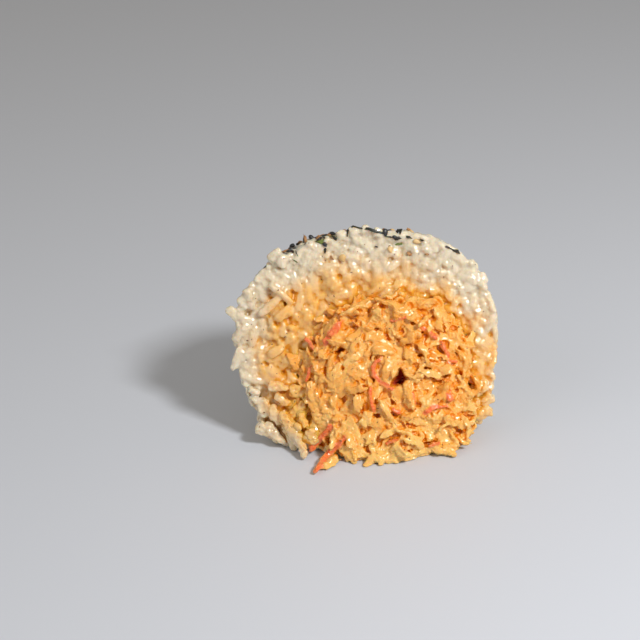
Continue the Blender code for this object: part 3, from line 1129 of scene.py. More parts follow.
def nearest_pieces(mesh, shapes, laid):
    """For each point of a mesh, the nearest laid shape's number and the way it runs there."""
    numbers, courses = [], []
    tree = kdtree.KDTree(sum(len(shapes[kind]["middles"]) for kind, _ in laid))
    for number, (kind, matrix) in enumerate(laid):
        turn = matrix.to_3x3()
        for middle, course in zip(shapes[kind]["middles"], shapes[kind]["courses"]):
            tree.insert(matrix @ Vector(middle), len(numbers))
            numbers.append(number)
            courses.append((turn @ Vector(course)).normalized())
    tree.balance()
    found = [tree.find(point)[1] for point in array_of(mesh, "points", 3)]
    return np.array(numbers)[found], np.array(courses)[found]


def mark_tints(mesh, owners):
    """Gives each point its piece's own number between 0 and 1."""
    add_mark(mesh, "tint", owners * GOLDEN_SHARE % 1)


def move_out(mesh, moves):
    """Moves each point of a mesh out along its normal."""
    points = array_of(mesh, "points", 3) + array_of(mesh, "normals", 3) * moves[:, None]
    mesh.vertices.foreach_set("co", points.astype(np.float32).ravel())
    mesh.update()


def noise_at(spots):
    return np.array([noise.noise(Vector(spot)) for spot in spots])


print("marks ready")

# %% [markdown]
# Starch and sauce gather in the creases between grains, and shade falls there, so a second mark says
# how deep a point lies in one. From it the finishes paint shade into the creases, and light onto the
# crab's ridges. The mesh is smoothed, and where the smoothing lifts a point, it was in a crease. The
# same measure fills the creases in, where hands pressed the rice.

# %% Creases
CREASE_DEPTH = 0.55 * MM
CREASE_ROUNDS = 14
RIDGE_WEAR = 0.5
# What each smoothing round keeps of a point's own place.
SMOOTHING_KEEPS = 0.3


def lifts(mesh, rounds):
    """How far smoothing would lift each point out along its normal."""
    points, ends = array_of(mesh, "points", 3), array_of(mesh, "edges", 2)
    count = len(points)
    both = np.concatenate([ends, ends[:, ::-1]])
    near = np.maximum(1, np.bincount(both[:, 0], minlength=count))
    soft = points.astype(np.float64)
    for _ in range(rounds):
        sums = [np.bincount(both[:, 0], soft[both[:, 1], axis], count) for axis in range(3)]
        moved = (1 - SMOOTHING_KEEPS) * np.stack(sums, axis=1) / near[:, None]
        soft = SMOOTHING_KEEPS * soft + moved
    return ((soft - points) * array_of(mesh, "normals", 3)).sum(axis=1)


def mark_creases(mesh):
    """0 on a ridge, near 0.5 on the flat and 1 deep in a crease."""
    share = 0.5 + lifts(mesh, CREASE_ROUNDS) / (2 * CREASE_DEPTH)
    add_mark(mesh, "crease", np.clip(share, 0, 1))


def fill_creases(mesh, shares):
    """Fills the creases with starch by a share at each point, and wears the ridges a little."""
    lift = lifts(mesh, CREASE_ROUNDS)
    move_out(mesh, np.where(lift > 0, lift, lift * RIDGE_WEAR) * shares)


print("a crease counts as deep from mm", CREASE_DEPTH / MM)

# %% [markdown]
# ## Starch and sauce in the rice
#
# The rim was pressed and its creases are partly shut. The torn rice stays open. Sauce has run from
# the filling into the rice round it, furthest on the right near the floor, and leaves a trace at the
# rim. The grains that fell lay in it. Noise makes its edge ragged.

# %% Starch and sauce
RIM_FILL = 0.36
TORN_FILL = 0.06
RIM_START, RIM_END = 0.78, 0.95
RIM_WAVER = ((0.1, 8 * MM),)
# On the left, past these places and under these heights, the creases stay open.
OPEN_LEFT = (-20 * MM, -32 * MM)
OPEN_HEIGHTS = (30 * MM, 50 * MM)
# The stain's edge, as shares of the ball's size, and how it wavers, spreads low down and fades high.
STRONG_EDGE = (0.64, 0.93)
TRACE_EDGE = (0.86, 1.1)
STRONG_SHARE, TRACE_SHARE = 0.85, 0.15
SAUCE_EDGE = ((0.12, 7 * MM), (0.08, 3 * MM))
LOW_HEIGHTS = (18 * MM, 47 * MM)
LOW_SPREAD = 0.26
LOW_ON_LEFT = 0.25
HIGH_HEIGHTS = (34 * MM, 54 * MM)
HIGH_FADE = 0.1
STAIN_DEPTHS = (6 * MM, 11 * MM)
FALLEN_SAUCE = 0.34
FALLEN_REACH = (1.4, 2.1)


def sauce_at(point):
    """How much sauce the rice has taken up: all of it near the filling, a trace at the rim."""
    low = 1 - step(*LOW_HEIGHTS, point.z) if point.x > 0 else LOW_ON_LEFT
    high = step(*HIGH_HEIGHTS, point.z)
    edge = ball_field(point) + layered_noise(point, SAUCE_EDGE)
    edge = edge - low * LOW_SPREAD + high * HIGH_FADE
    near_face = 1 - step(*STAIN_DEPTHS, -RICE_FACE.height_over(point))
    strong, trace = 1 - step(*STRONG_EDGE, edge), 1 - step(*TRACE_EDGE, edge)
    fallen = FALLEN_SAUCE * (1 - step(*FALLEN_REACH, mound_field(point)))
    return max(near_face * (STRONG_SHARE * strong + TRACE_SHARE * trace), fallen)


def fill_share(point):
    """How far the creases are filled: most at the rim, little in the torn rice and low on the left."""
    edge = ball_field(point) + layered_noise(point, RIM_WAVER)
    left = step(*OPEN_LEFT, point.x) * (1 - step(*OPEN_HEIGHTS, point.z))
    return TORN_FILL + (RIM_FILL - TORN_FILL) * step(RIM_START, RIM_END, edge) * (1 - left)


spot = RICE_FACE.point(0, BALL_TOP_HEIGHT)
print("in mid face, sauce", round(sauce_at(spot), 2), "and starch", round(fill_share(spot), 2))

# %% [markdown]
# Now all marks go onto the three pieces. No cooked grain is quite smooth, so every piece also gets
# shallow dents a millimetre or so wide, and the loose grains get deeper ones, because they show whole.

# %% Marks and dents on the rice
GRAIN_DENTS = 0.2 * MM
GRAIN_DENT_SIZE = 1.4 * MM
FINE_DENTS = 0.15 * MM
FINE_DENT_SIZE = 0.8 * MM
LOOSE_DENTS = 0.6 * MM
LOOSE_DENT_SIZE = 1.5 * MM

for piece, laid in (
    (pressed_rice, rind_grains), (torn_rice, face_grains), (loose_rice, loose_grains)
):
    mark_tints(piece.data, nearest_pieces(piece.data, grain_shapes, laid)[0])
    mark_creases(piece.data)
    points = [Vector(point) for point in array_of(piece.data, "points", 3)]
    fill_creases(piece.data, np.array([fill_share(point) for point in points]))
loose_points = array_of(loose_rice.data, "points", 3)
move_out(loose_rice.data, noise_at(loose_points / LOOSE_DENT_SIZE) * LOOSE_DENTS)
for piece in (pressed_rice, torn_rice, loose_rice):
    points = [Vector(point) for point in array_of(piece.data, "points", 3)]
    add_mark(piece.data, "sauce", [sauce_at(point) for point in points])
    move_out(piece.data, noise_at(point / GRAIN_DENT_SIZE for point in points) * GRAIN_DENTS)
    move_out(piece.data, noise_at(point / FINE_DENT_SIZE for point in points) * FINE_DENTS)
print("marks on the rice", list(torn_rice.data.attributes.keys()))

# %% [markdown]
# ## The finish of the rice
#
# Cooked rice is milky: light goes in, scatters about 2 mm and comes out, so the grains glow a little
# and their shadows are warm. That is subsurface scattering, the same all over. The colour changes.
# Clean grains are a warm white, some clearer and so a little darker. In their creases, and where
# little sky is seen, a browner colour is painted as shade. Where they have taken up sauce they turn
# pale orange, and a deeper orange where little sky is seen, which is painted shade. In the creases
# and where little sky is seen a strong orange stands, which is pooled sauce with painted shade. A film
# of starch makes small bright glints. It is a smooth coat that is stronger in patches, and a fine bump
# breaks the glints up. The mark "cover" comes in a later cell, and only on the rice in front. The
# pressed back has none, which a shader reads as 0.

# %% Rice finish
CLEAN_RICE = colour(0.73, 0.65, 0.50)
CLEAR_RICE = colour(0.52, 0.45, 0.315)
# Painted shade for the creases and for places that see little sky.
CREASE_SHADE_RICE = colour(0.58, 0.42, 0.23)
SOAKED_RICE = colour(0.82, 0.44, 0.078)
# Pooled sauce with painted shade, for the creases and for places that see little sky.
POOLED_SAUCE_SHADE = colour(0.76, 0.34, 0.025)

rice_finish = Finish("rice")
tint = rice_finish.mark("tint")
sauce = rice_finish.mark("sauce")
crease = rice_finish.mark("crease").within(0.5, 0.85)
cover = rice_finish.mark("cover").within(0.25, 0.75)
cloud = rice_finish.patches(1.5 * MM).within(0.35, 0.7)
clean = rice_finish.mixed(0.7 * tint * cloud, CLEAN_RICE, CLEAR_RICE)
# Painted shade: browner in the creases and where little sky is seen.
clean = rice_finish.mixed(0.45 * crease + 0.3 * cover, clean, CREASE_SHADE_RICE)
# A deeper orange where little sky is seen is painted shade, and so is part of the strong orange in the
# creases.
soaked_shaded = rice_finish.mixed(sauce * (0.68 + 0.22 * tint + 0.4 * cover), clean, SOAKED_RICE)
base = rice_finish.mixed(sauce * (0.8 * crease + 0.7 * cover), soaked_shaded, POOLED_SAUCE_SHADE)
pebbles = rice_finish.patches(0.45 * MM, 0.5)
film = rice_finish.patches(1.6 * MM, 2).within(0.3, 0.7)
rice_finish.set(
    Base_Color=base,
    Roughness=0.1 + 0.1 * film,
    Subsurface_Weight=0.9,
    Subsurface_Radius=(1.0, 0.7, 0.42),
    Subsurface_Scale=2.1 * MM,
    Coat_Weight=1.0 - 0.6 * film,
    Coat_Roughness=0.06,
    IOR=1.45,
    Normal=rice_finish.raised(pebbles, 0.07 * MM),
)
for piece in (pressed_rice, torn_rice, loose_rice):
    piece.data.materials.append(rice_finish.material)
    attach(piece, "root")
    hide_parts("rice_ball")
print("rice finish nodes", len(rice_finish.tree.nodes))

# %% [markdown]
# ## The filling's core
#
# The filling is a heap of shredded crab that was scooped, not moulded. Under the shreds a plain core
# takes the light that gets between them. It is the rounded form, with what stands before its lumpy
# front pressed back onto it, and with clumps a few millimetres high and wide.

# %% Filling core
CRAB_INSET = 0.7 * MM
CLUMP_HEIGHT = 1.9 * MM
CLUMP_WIDTH = 5.0 * MM


def crab_core():
    bm = form_mesh(crab_field, CRAB_CENTRE, CRAB_INSET, 6)
    for vert in bm.verts:
        ahead = RICE_FACE.height_over(vert.co) - front_height(vert.co) + CRAB_INSET
        if ahead > 0:
            clump = noise.noise(vert.co / CLUMP_WIDTH) * CLUMP_HEIGHT
            vert.co -= RICE_FACE.normal * (ahead - clump)
        vert.co.z = max(vert.co.z, FLOOR_SPARE)
    return bm


crab_mesh = mesh_from("crab_core", crab_core())
print("triangles in the core", len(crab_mesh.polygons))

# %% [markdown]
# ## One shred
#
# Crab sticks tear along their fibres into flat ribbons and flaps with ragged, blunt ends. A ribbon cut
# from a plane would be too clean. This one is a flattened tube in which every line along its length
# keeps its own height, so that fibres show, and stops at its own place at the ends, so that they fray.
# Its two edges are ragged, and its underside can reach deep, so that it grows out of the heap.

# %% A ribbon
SHRED_SIDES = 12
# A flap's section is nearer to a box than to an ellipse: the lower, the flatter.
FLATNESS = 0.5
FIBRE_HEIGHTS = (0.7, 1.2)
FIBRE_WAVER = 0.22
# The higher this power, the blunter an end.
END_BLUNTNESS = (3, 16)
END_ROUNDING = 0.6
END_GIRTH = 0.35
END_THICKNESS = 0.45
# The higher this power, the nearer to the ends the fibres fray.
FRAY_POWER = 5
MOST_WIDENING = 0.3


def smooth_noise(draw, count, strength, knots=4):
    """Slowly changing random numbers along a length."""
    values = [draw.uniform(-strength, strength) for _ in range(knots)]
    return np.interp(np.linspace(0, knots - 1, count), range(knots), values)


def flattened(values):
    return np.sign(values) * np.abs(values) ** FLATNESS


def ribbon(draw, middles, ups, width, thickness, fray=0.8, root=1.0, ragged=0.34):
    """A torn ribbon along a row of middle points, with its broad side facing ups."""
    rings = len(middles)
    tangents = np.gradient(middles, axis=0)
    tangents /= np.linalg.norm(tangents, axis=1)[:, None]
    sides = np.cross(ups, tangents)
    sides /= np.linalg.norm(sides, axis=1)[:, None]
    ups = np.cross(tangents, sides)
    angles = np.arange(SHRED_SIDES) * 2 * math.pi / SHRED_SIDES
    fibres = [
        draw.uniform(*FIBRE_HEIGHTS) + smooth_noise(draw, rings, FIBRE_WAVER, 5) for _ in angles
    ]
    frays = np.array([draw.uniform(-1, 1) for _ in angles])
    blunts = [draw.uniform(*END_BLUNTNESS) for _ in range(2)]
    widening = draw.uniform(-MOST_WIDENING, MOST_WIDENING)
    left_edge, right_edge = (smooth_noise(draw, rings, ragged, 8) for _ in range(2))
    made = []
    for i, place in enumerate(np.linspace(-1, 1, rings)):
        taper = (1 - abs(place) ** blunts[int(place > 0)]) ** END_ROUNDING
        girth = max(END_GIRTH, taper) * (1 + widening * place)
        fibre = np.array([line[i] for line in fibres])
        edge = np.where(np.cos(angles) > 0, right_edge[i], left_edge[i])
        across = flattened(np.cos(angles)) * (1 + edge) * width / 2 * girth
        thinning = END_THICKNESS + (1 - END_THICKNESS) * min(girth, 1)
        up = flattened(np.sin(angles)) * fibre * thickness / 2 * thinning
        up = np.where(up < 0, up * root, up)
        along = frays * abs(place) ** FRAY_POWER * width * fray * np.sign(place)
        ring = across[:, None] * sides[i] + up[:, None] * ups[i] + along[:, None] * tangents[i]
        made.append(middles[i] + ring)
    tips = np.array([made[0].mean(axis=0), made[-1].mean(axis=0)])
    return shape_from(made, tips)


print("points round a ribbon", SHRED_SIDES)

# %% [markdown]
# The heap needs three sizes: shreds, thin wisps and short, thick crumbs. Each is made a couple of
# dozen times with its own bend and twist.

# %% Shreds, wisps and crumbs
SHRED_RINGS = 13
SHRED_KINDS = 22
# A shred's underside reaches this many times as deep as its top stands high.
ROOT = 4.0


def shred_shape(draw, length, width, thickness, bend, twist, root=1.0):
    """A torn ribbon along X, with its broad side up."""
    places = np.linspace(-1, 1, SHRED_RINGS)
    sway, rise = (smooth_noise(draw, SHRED_RINGS, bend / 2.5, 5) for _ in range(2))
    turns = twist * places + smooth_noise(draw, SHRED_RINGS, 0.35)
    middles = np.stack([places * length / 2, sway, rise + bend * (0.5 - places**2)], axis=1)
    ups = np.stack([np.zeros(SHRED_RINGS), -np.sin(turns), np.cos(turns)], axis=1)
    return ribbon(draw, middles, ups, width, thickness, root=root)


def shred_kinds(draw, lengths, widths, thicknesses, bends, twist):
    """Shreds of many sizes. Each pair is the smallest and the largest, in mm."""
    return [
        shred_shape(
            draw,
            length=draw.uniform(*lengths) * MM,
            width=draw.uniform(*widths) * MM,
            thickness=draw.uniform(*thicknesses) * MM,
            bend=draw.uniform(*bends) * MM,
            twist=draw.uniform(-twist, twist),
            root=ROOT,
        )
        for _ in range(SHRED_KINDS)
    ]


shred_draw = random.Random(SEED + 2)
shred_shapes = shred_kinds(shred_draw, (4.0, 9.5), (1.3, 3.2), (0.6, 1.0), (0.3, 2.2), 0.7)
wisp_shapes = shred_kinds(shred_draw, (2.5, 6), (0.6, 1.1), (0.5, 0.7), (0.5, 2.0), 0.7)
crumb_shapes = shred_kinds(shred_draw, (1.6, 3.6), (1.0, 1.9), (0.8, 1.4), (0, 0.5), 0.6)
print("triangles in a shred", len(shred_shapes[0]["faces"]))

# %% [markdown]
# ## Shreds and red strips that can be told apart
#
# The largest flaps of the torn face give it its pattern, and the red skin of the crab sticks shows in
# a few narrow strips. Each is given by pixels along its middle, and by its width.

# %% Flaps and strips seen one by one
# Each row is the pixels along a flap's middle and its width in mm.
SEEN_FLAPS = (
    (((327, 310), (337, 316), (352, 323)), 2.2),
    (((355, 324), (367, 316), (380, 312)), 1.8),
    (((345, 339), (364, 335), (383, 338)), 3.0),
    (((371, 347), (386, 343), (400, 350), (418, 354)), 2.7),
    (((388, 323), (391, 331), (392, 340)), 1.9),
    (((346, 351), (336, 355), (325, 367)), 1.6),
    (((340, 362), (336, 370), (331, 378)), 2.4),
    (((355, 367), (342, 377), (329, 387)), 3.0),
    (((324, 373), (321, 381), (318, 389)), 1.8),
    (((355, 363), (363, 370), (371, 378)), 1.8),
    (((389, 355), (387, 368), (384, 382)), 2.8),
    (((382, 386), (377, 393), (373, 400)), 2.4),
    (((402, 363), (413, 374), (425, 389)), 3.6),
    (((394, 388), (401, 399), (409, 411)), 3.6),
    (((425, 369), (429, 380), (431, 393)), 2.2),
    (((423, 367), (434, 365), (446, 362)), 1.8),
    (((419, 347), (428, 353), (438, 360)), 2.2),
    (((453, 346), (459, 360), (465, 376)), 2.8),
    (((435, 387), (444, 384), (455, 379)), 1.8),
    (((463, 375), (472, 380), (481, 386)), 1.9),
    (((455, 408), (461, 396), (468, 384)), 3.6),
    (((447, 404), (455, 419), (463, 429), (473, 433)), 2.0),
    (((313, 413), (321, 419), (329, 427)), 3.6),
    (((323, 412), (331, 406), (338, 399)), 3.8),
    (((342, 413), (349, 403), (356, 394)), 3.0),
    (((350, 419), (354, 433), (358, 448)), 4.2),
    (((371, 418), (379, 427), (386, 436)), 3.6),
    (((378, 413), (384, 407), (390, 402)), 3.6),
    (((358, 452), (366, 455), (376, 458)), 2.6),
    (((340, 446), (348, 454), (357, 461)), 2.8),
    (((394, 455), (402, 450), (412, 445)), 2.8),
    (((323, 468), (330, 465), (339, 459)), 3.4),
    (((424, 430), (440, 436), (457, 444)), 3.0),
    (((400, 458), (412, 456), (424, 451)), 2.0),
    (((432, 448), (445, 451), (455, 455)), 2.2),
    (((404, 414), (414, 420), (425, 425)), 2.8),
)
# Each row is the pixels along a red strip's middle and its width in mm.
RED_STRIPS = (
    (((324, 343), (332, 333), (341, 322)), 2.2),
    (((352, 321), (355, 324), (358, 326)), 0.9),
    (((380, 358), (373, 364), (372, 374), (380, 382), (392, 388)), 1.6),
    (((370, 388), (371, 400), (374, 411)), 1.3),
    (((441, 340), (444, 348), (449, 356)), 1.4),
    (((446, 366), (450, 361), (458, 362)), 1.4),
    (((446, 387), (449, 394), (451, 402)), 2.1),
    (((413, 393), (413, 398), (415, 403)), 1.0),
    (((425, 413), (431, 408), (438, 406), (447, 407)), 1.4),
    (((310, 451), (320, 439), (330, 427)), 2.1),
    (((316, 471), (329, 453), (344, 439)), 2.3),
    (((386, 444), (392, 441), (399, 439)), 1.1),
    (((392, 408), (396, 411), (401, 413)), 1.3),
    (((346, 296), (348, 299), (350, 303)), 1.2),
    (((305, 338), (309, 342), (314, 349)), 1.5),
    (((311, 366), (309, 374), (306, 382)), 1.3),
    (((391, 321), (398, 319), (405, 318)), 1.0),
    (((422, 328), (429, 331), (436, 338)), 1.6),
    (((428, 447), (433, 445), (440, 443)), 1.1),
)
print("flaps", len(SEEN_FLAPS), "red strips", len(RED_STRIPS))

# %% [markdown]
# A ray through each pixel finds the core, and the ribbon is drawn through places a little nearer on
# the same rays. So it lies on the heap and still shows at its pixels. Its line is smoothed, because
# the clumps of the core would make it jump.

# %% Ribbons through pixels
SEEN_RINGS = 14
SEEN_SMOOTHING = 6

crab_tree = bvhtree.BVHTree.FromPolygons(
    [vert.co for vert in crab_mesh.vertices], [face.vertices for face in crab_mesh.polygons]
)


def on_heap(pixel, lift):
    """A place before the filling's core seen through a pixel, or on the floor or the torn rice."""
    direction = pixel_direction(pixel).normalized()
    place, normal, _, _ = crab_tree.ray_cast(camera_place, direction)
    if place is None:
        return seen_place(pixel, lift, lift), RICE_FACE.normal
    return place - direction * lift, (normal - direction).normalized()


def seen_ribbon(draw, pixels, width, thickness, lift, fray, ragged=0.34):
    knots = np.linspace(0, len(pixels) - 1, SEEN_RINGS)
    across, down = (np.interp(knots, range(len(pixels)), axis) for axis in zip(*pixels))
    found = [on_heap(pixel, lift) for pixel in zip(across, down)]
    middles = np.array([place for place, _ in found])
    ups = np.array([normal for _, normal in found])
    for _ in range(SEEN_SMOOTHING):
        middles[1:-1] = (middles[:-2] + 2 * middles[1:-1] + middles[2:]) / 4
        ups[1:-1] = (ups[:-2] + 2 * ups[1:-1] + ups[2:]) / 4
    low = thickness / 2 + FLOOR_SPARE
    middles[:, 2] = np.maximum(middles[:, 2], low)
    return middles, ribbon(draw, middles, ups, width, thickness, fray, ROOT, ragged)


print("rings in a seen ribbon", SEEN_RINGS)

# %% [markdown]
# A flap is thick and frayed and lies close. A red strip is cut skin: thin, with even edges, and it
# lies on top of the flaps. The middles of all of them are kept, so that later shreds stay off them.

# %% Laying flaps and strips
# The widths above were read with their shaded edges. This share of them is the shred itself.
WIDTH_SHARE = 0.9
FLAP_LIFT = 1.7 * MM
FLAP_LIFT_SPREAD = 0.5
FLAP_THICKNESS = (0.9, 1.4)
FLAP_FRAY = 0.4
STRIP_LIFT = 2.7 * MM
STRIP_THICKNESS = 0.9 * MM
STRIP_FRAY = 0.15
STRIP_RAGGED = 0.1

seen_draw = random.Random(SEED + 4)
seen_shapes, seen_middles = [], []
for pixels, width in SEEN_FLAPS:
    thickness = seen_draw.uniform(*FLAP_THICKNESS) * MM
    lift = FLAP_LIFT + seen_draw.uniform(-FLAP_LIFT_SPREAD, FLAP_LIFT_SPREAD) * MM
    width *= WIDTH_SHARE * MM
    middles, shape = seen_ribbon(seen_draw, pixels, width, thickness, lift, FLAP_FRAY)
    seen_shapes.append(shape)
    seen_middles += [Vector(middle) for middle in middles]
strips = []
for pixels, width in RED_STRIPS:
    width *= WIDTH_SHARE * MM
    middles, shape = seen_ribbon(
        seen_draw, pixels, width, STRIP_THICKNESS, STRIP_LIFT, STRIP_FRAY, STRIP_RAGGED
    )
    seen_shapes.append(shape)
    seen_middles += [Vector(middle) for middle in middles]
    strips.append((middles, width))
print("first strip's middle at mm", [round(value / MM) for value in strips[0][0][SEEN_RINGS // 2]])

# %% [markdown]
# ## Where a shred may lie
#
# Shreds cover the filling wherever no rice does. Neighbours run much the same way, because they were
# torn from the same stick. What would reach under the floor is turned another way, and so is what
# would hide a seen flap.

# %% Rules of the heap
# The way the shreds run turns slowly over the heap.
FLOW_SIZE = 8 * MM
FLOW_TURN = 5.0
FLOW_SPREAD = 0.5
HIDDEN_DEPTH = 3.5 * MM
HEAP_FOOT = 1.2 * MM
STEEPEST_UNDERSIDE = -0.6
SEEN_ROOM = 1.3 * MM

seen_tree = kdtree.KDTree(len(seen_middles))
for number, middle in enumerate(seen_middles):
    seen_tree.insert(middle, number)
seen_tree.balance()


def shows_in_heap(spot, normal):
    """Spots on the filling that no rice covers, off its underside."""
    if spot.z < HEAP_FOOT or normal.z < STEEPEST_UNDERSIDE:
        return False
    covered = ball_field(spot) < 1 and RICE_FACE.height_over(spot) < -HIDDEN_DEPTH
    return not covered


def above_floor(shape, matrix):
    return all((matrix @ Vector(middle)).z > FLOOR_SPARE for middle in shape["middles"])


def off_seen(shape, matrix):
    middles = (matrix @ Vector(middle) for middle in shape["middles"])
    return all(seen_tree.find(middle)[2] > SEEN_ROOM for middle in middles)


def flowing(spot, normal, draw, tilt):
    """The way a shred runs: much as its neighbours do, and a little up or down."""
    turn = FLOW_TURN * noise.noise(spot / FLOW_SIZE) + draw.gauss(0, FLOW_SPREAD)
    course = Vector((math.cos(turn), 0, 0)) + RICE_FACE.up * math.sin(turn)
    course = (course - normal * course.dot(normal)).normalized()
    return (course + normal * math.tan(draw.uniform(-tilt, tilt))).normalized()


print("middles to stay off", len(seen_middles))

# %% [markdown]
# ## Heaping the shreds
#
# The heap is built in tiers, as it would fall. A bed of shreds lies close on the core, looser tiers
# cross it, and a few shreds stand away from the heap and throw the deep shadows. Wisps and crumbs
# fill what is left.

# %% Tiers of shreds
# Each row is the shapes, their spacing and their lift in mm, and their tilt in degrees.
TIERS = (
    (shred_shapes, 2.5, 0.2, 16),
    (crumb_shapes, 3.0, 0.6, 40),
    (shred_shapes, 3.3, 1.1, 24),
    (crumb_shapes, 5.0, 1.2, 45),
    (wisp_shapes, 3.4, 1.8, 30),
    (shred_shapes, 4.0, 2.2, 32),
)
HEAP_SEED = 100
LIFT_SPREAD = 0.5
TURNS_TRIED = 6
# Tiers with less lift than this, in mm, lie under the seen flaps.
OVER_SEEN = 0.8


def heaped(tiers, seed):
    """Shapes and their places in every tier of the heap."""
    draw = random.Random(seed)
    shapes, laid = [], []
    for number, (kinds, spacing, lift, tilt) in enumerate(tiers):
        first = len(shapes)
        shapes += kinds
        for spot, normal in scattered(crab_mesh, spacing * MM, shows_in_heap, seed + number):
            kind = first + draw.randrange(SHRED_KINDS)
            place = spot + normal * (lift + draw.uniform(-LIFT_SPREAD, LIFT_SPREAD)) * MM
            for _ in range(TURNS_TRIED):
                course = flowing(spot, normal, draw, math.radians(tilt))
                matrix = laid_along(place, course, normal, 1)
                clear = lift < OVER_SEEN or off_seen(shapes[kind], matrix)
                if clear and above_floor(shapes[kind], matrix):
                    laid.append((kind, matrix))
                    break
    return shapes, laid


shapes, laid = heaped(TIERS, HEAP_SEED)
print("shreds in the heap", len(laid))

# %% [markdown]
# ## Shreds in the rice
#
# Where the filling was torn out, some of it stuck to the rice. These shreds and crumbs lie close round
# the filling and thin out away from it. They and the seen flaps join the heap before it is fused.

# %% Strewn shreds
STREWN_SEED = 300
STREWN_TILT = math.radians(40)
STREWN_HEIGHTS = (-0.8, 0.6)
# How far the seam starts and reaches, as shares of the filling's size.
SEAM_START = 0.93
SEAM_REACH = 1.36
SEAM_FALL = 0.25
SEAM_SPACING = 2.3 * MM
SEAM_FALL_HEIGHTS = (18 * MM, 38 * MM)
SEAM_RIGHT = 32 * MM
SEAM_FOOT = 3 * MM


def in_seam(spot, normal):
    """Spots on the torn rice close round the filling, fewer over it than beside it."""
    reach = SEAM_REACH - SEAM_FALL * step(*SEAM_FALL_HEIGHTS, spot.z)
    near = SEAM_START < crab_field(spot) < reach and ball_field(spot) < RIM_END
    return near and spot.z > SEAM_FOOT and spot.x < SEAM_RIGHT


def strewn(seed):
    """Shreds and crumbs strewn over the torn rice next to the filling."""
    draw = random.Random(seed)
    laid = []
    shapes = shred_shapes + crumb_shapes
    for spot, normal in scattered(torn_plane, SEAM_SPACING, in_seam, seed):
        place = spot + RICE_FACE.normal * (draw.uniform(*STREWN_HEIGHTS) * MM + face_relief(spot))
        nearness = (SEAM_REACH - crab_field(spot)) / (SEAM_REACH - SEAM_START)
        if draw.random() < nearness:
            kind = draw.randrange(len(shapes))
            laid.append((kind, lying(place, RICE_FACE.normal, draw, STREWN_TILT)))
    return shapes, laid


stray_shapes, strays = strewn(STREWN_SEED)
laid += [(len(shapes) + kind, matrix) for kind, matrix in strays]
shapes += stray_shapes
laid += [(len(shapes) + number, Matrix()) for number in range(len(seen_shapes))]
shapes += seen_shapes
print("shreds", len(laid))

# %% [markdown]
# ## Fusing the crab
#
# The shreds are wet and stick together, so they are fused like the grains, with a narrower bridge that
# keeps them apart to the eye. Then fibres are raised along each shred, from noise that is stretched
# the way the shred runs, and small folds that run every way. Points near a red strip are marked.

# %% The heap of crab
CRAB_VOXEL = 0.23 * MM
CRAB_BRIDGE = 0.16 * MM
FIBRE_WIDTH = 0.9 * MM
FIBRE_LENGTH = 5.0 * MM
FIBRE_DEPTH = 0.42 * MM
# Shifts the noise, so that the fibres of one shred don't run on in the next.
FIBRE_SHIFT = 3.7
FOLD_SIZE = 2.2 * MM
FOLD_DEPTH = 0.45 * MM
# A strip's red starts to fade and ends at these shares of its width from its middle.
RED_FADE = (0.4, 0.75)


def raise_fibres(mesh, owners, courses):
    """Raises fibres that run along each shred, on small folds that run every way."""
    points = array_of(mesh, "points", 3)
    along = (points * courses).sum(axis=1, keepdims=True) * courses
    spots = (points - along) / FIBRE_WIDTH + along / FIBRE_LENGTH
    spots = spots + owners[:, None] * FIBRE_SHIFT
    move_out(mesh, noise_at(spots) * FIBRE_DEPTH + noise_at(points / FOLD_SIZE) * FOLD_DEPTH)


def redness(mesh):
    """1 on a red strip, fading out just past its edges."""
    tree = kdtree.KDTree(len(strips) * SEEN_RINGS)
    widths = []
    for middles, width in strips:
        for middle in middles:
            tree.insert(middle, len(widths))
            widths.append(width)
    tree.balance()
    found = [tree.find(point) for point in array_of(mesh, "points", 3)]
    return [1 - step(*RED_FADE, distance / widths[i]) for _, i, distance in found]


torn_crab = fused("torn_crab", shapes, laid, crab_mesh, CRAB_VOXEL, CRAB_BRIDGE, smoothing=1)
owners, courses = nearest_pieces(torn_crab.data, shapes, laid)
mark_tints(torn_crab.data, owners)
add_mark(torn_crab.data, "red", redness(torn_crab.data))
raise_fibres(torn_crab.data, owners, courses)
mark_creases(torn_crab.data)
print("marks on the crab", list(torn_crab.data.attributes.keys()))

# %% [markdown]
# ## Two holes
#
# Two deep dark holes show in the front of the filling. Shreds would fall across them, so they are
# pressed into the finished heap. Each is given by the pixels of its corners. A point is inside where
# it lies within all of the sides, and noise makes the edge ragged.

# %% Holes
HOLE_DEPTH = 5 * MM
HOLE_RAG = 0.6 * MM
HOLE_RAG_SIZE = 1.8 * MM
# Where the slope and the painted shade of a hole start and end, measured inwards from its edge.
HOLE_SLOPE = (-0.2 * MM, 0.9 * MM)
HOLE_SHADE = (-0.2 * MM, 0.3 * MM)
# How deep behind the front the painted shade of a hole starts and is whole.
DARK_DEPTHS = (1.0 * MM, 3.5 * MM)
# Each row is the pixels of a hole's corners, clockwise.
HOLES = (
    ((400, 367), (409, 379), (403, 384), (389, 387)),
    ((330, 353), (341, 346), (347, 349), (338, 354)),
)
holes = [[on_plane(pixel, CRAB_FACE, CRAB_BULGE) for pixel in corners] for corners in HOLES]


def inside_hole(point):
    """How far a point is inside a hole's ragged edge, seen square to the face. Negative outside."""
    deepest = -HOLE_DEPTH
    for corners in holes:
        depths = []
        for start, end in zip(corners, corners[1:] + corners[:1]):
            inward = (end - start).cross(CRAB_FACE.normal).normalized()
            depths.append((point - start).dot(inward))
        deepest = max(deepest, min(depths))
    return deepest + HOLE_RAG * noise.noise(point / HOLE_RAG_SIZE)


def behind_front(point):
    return front_height(point) - RICE_FACE.height_over(point)


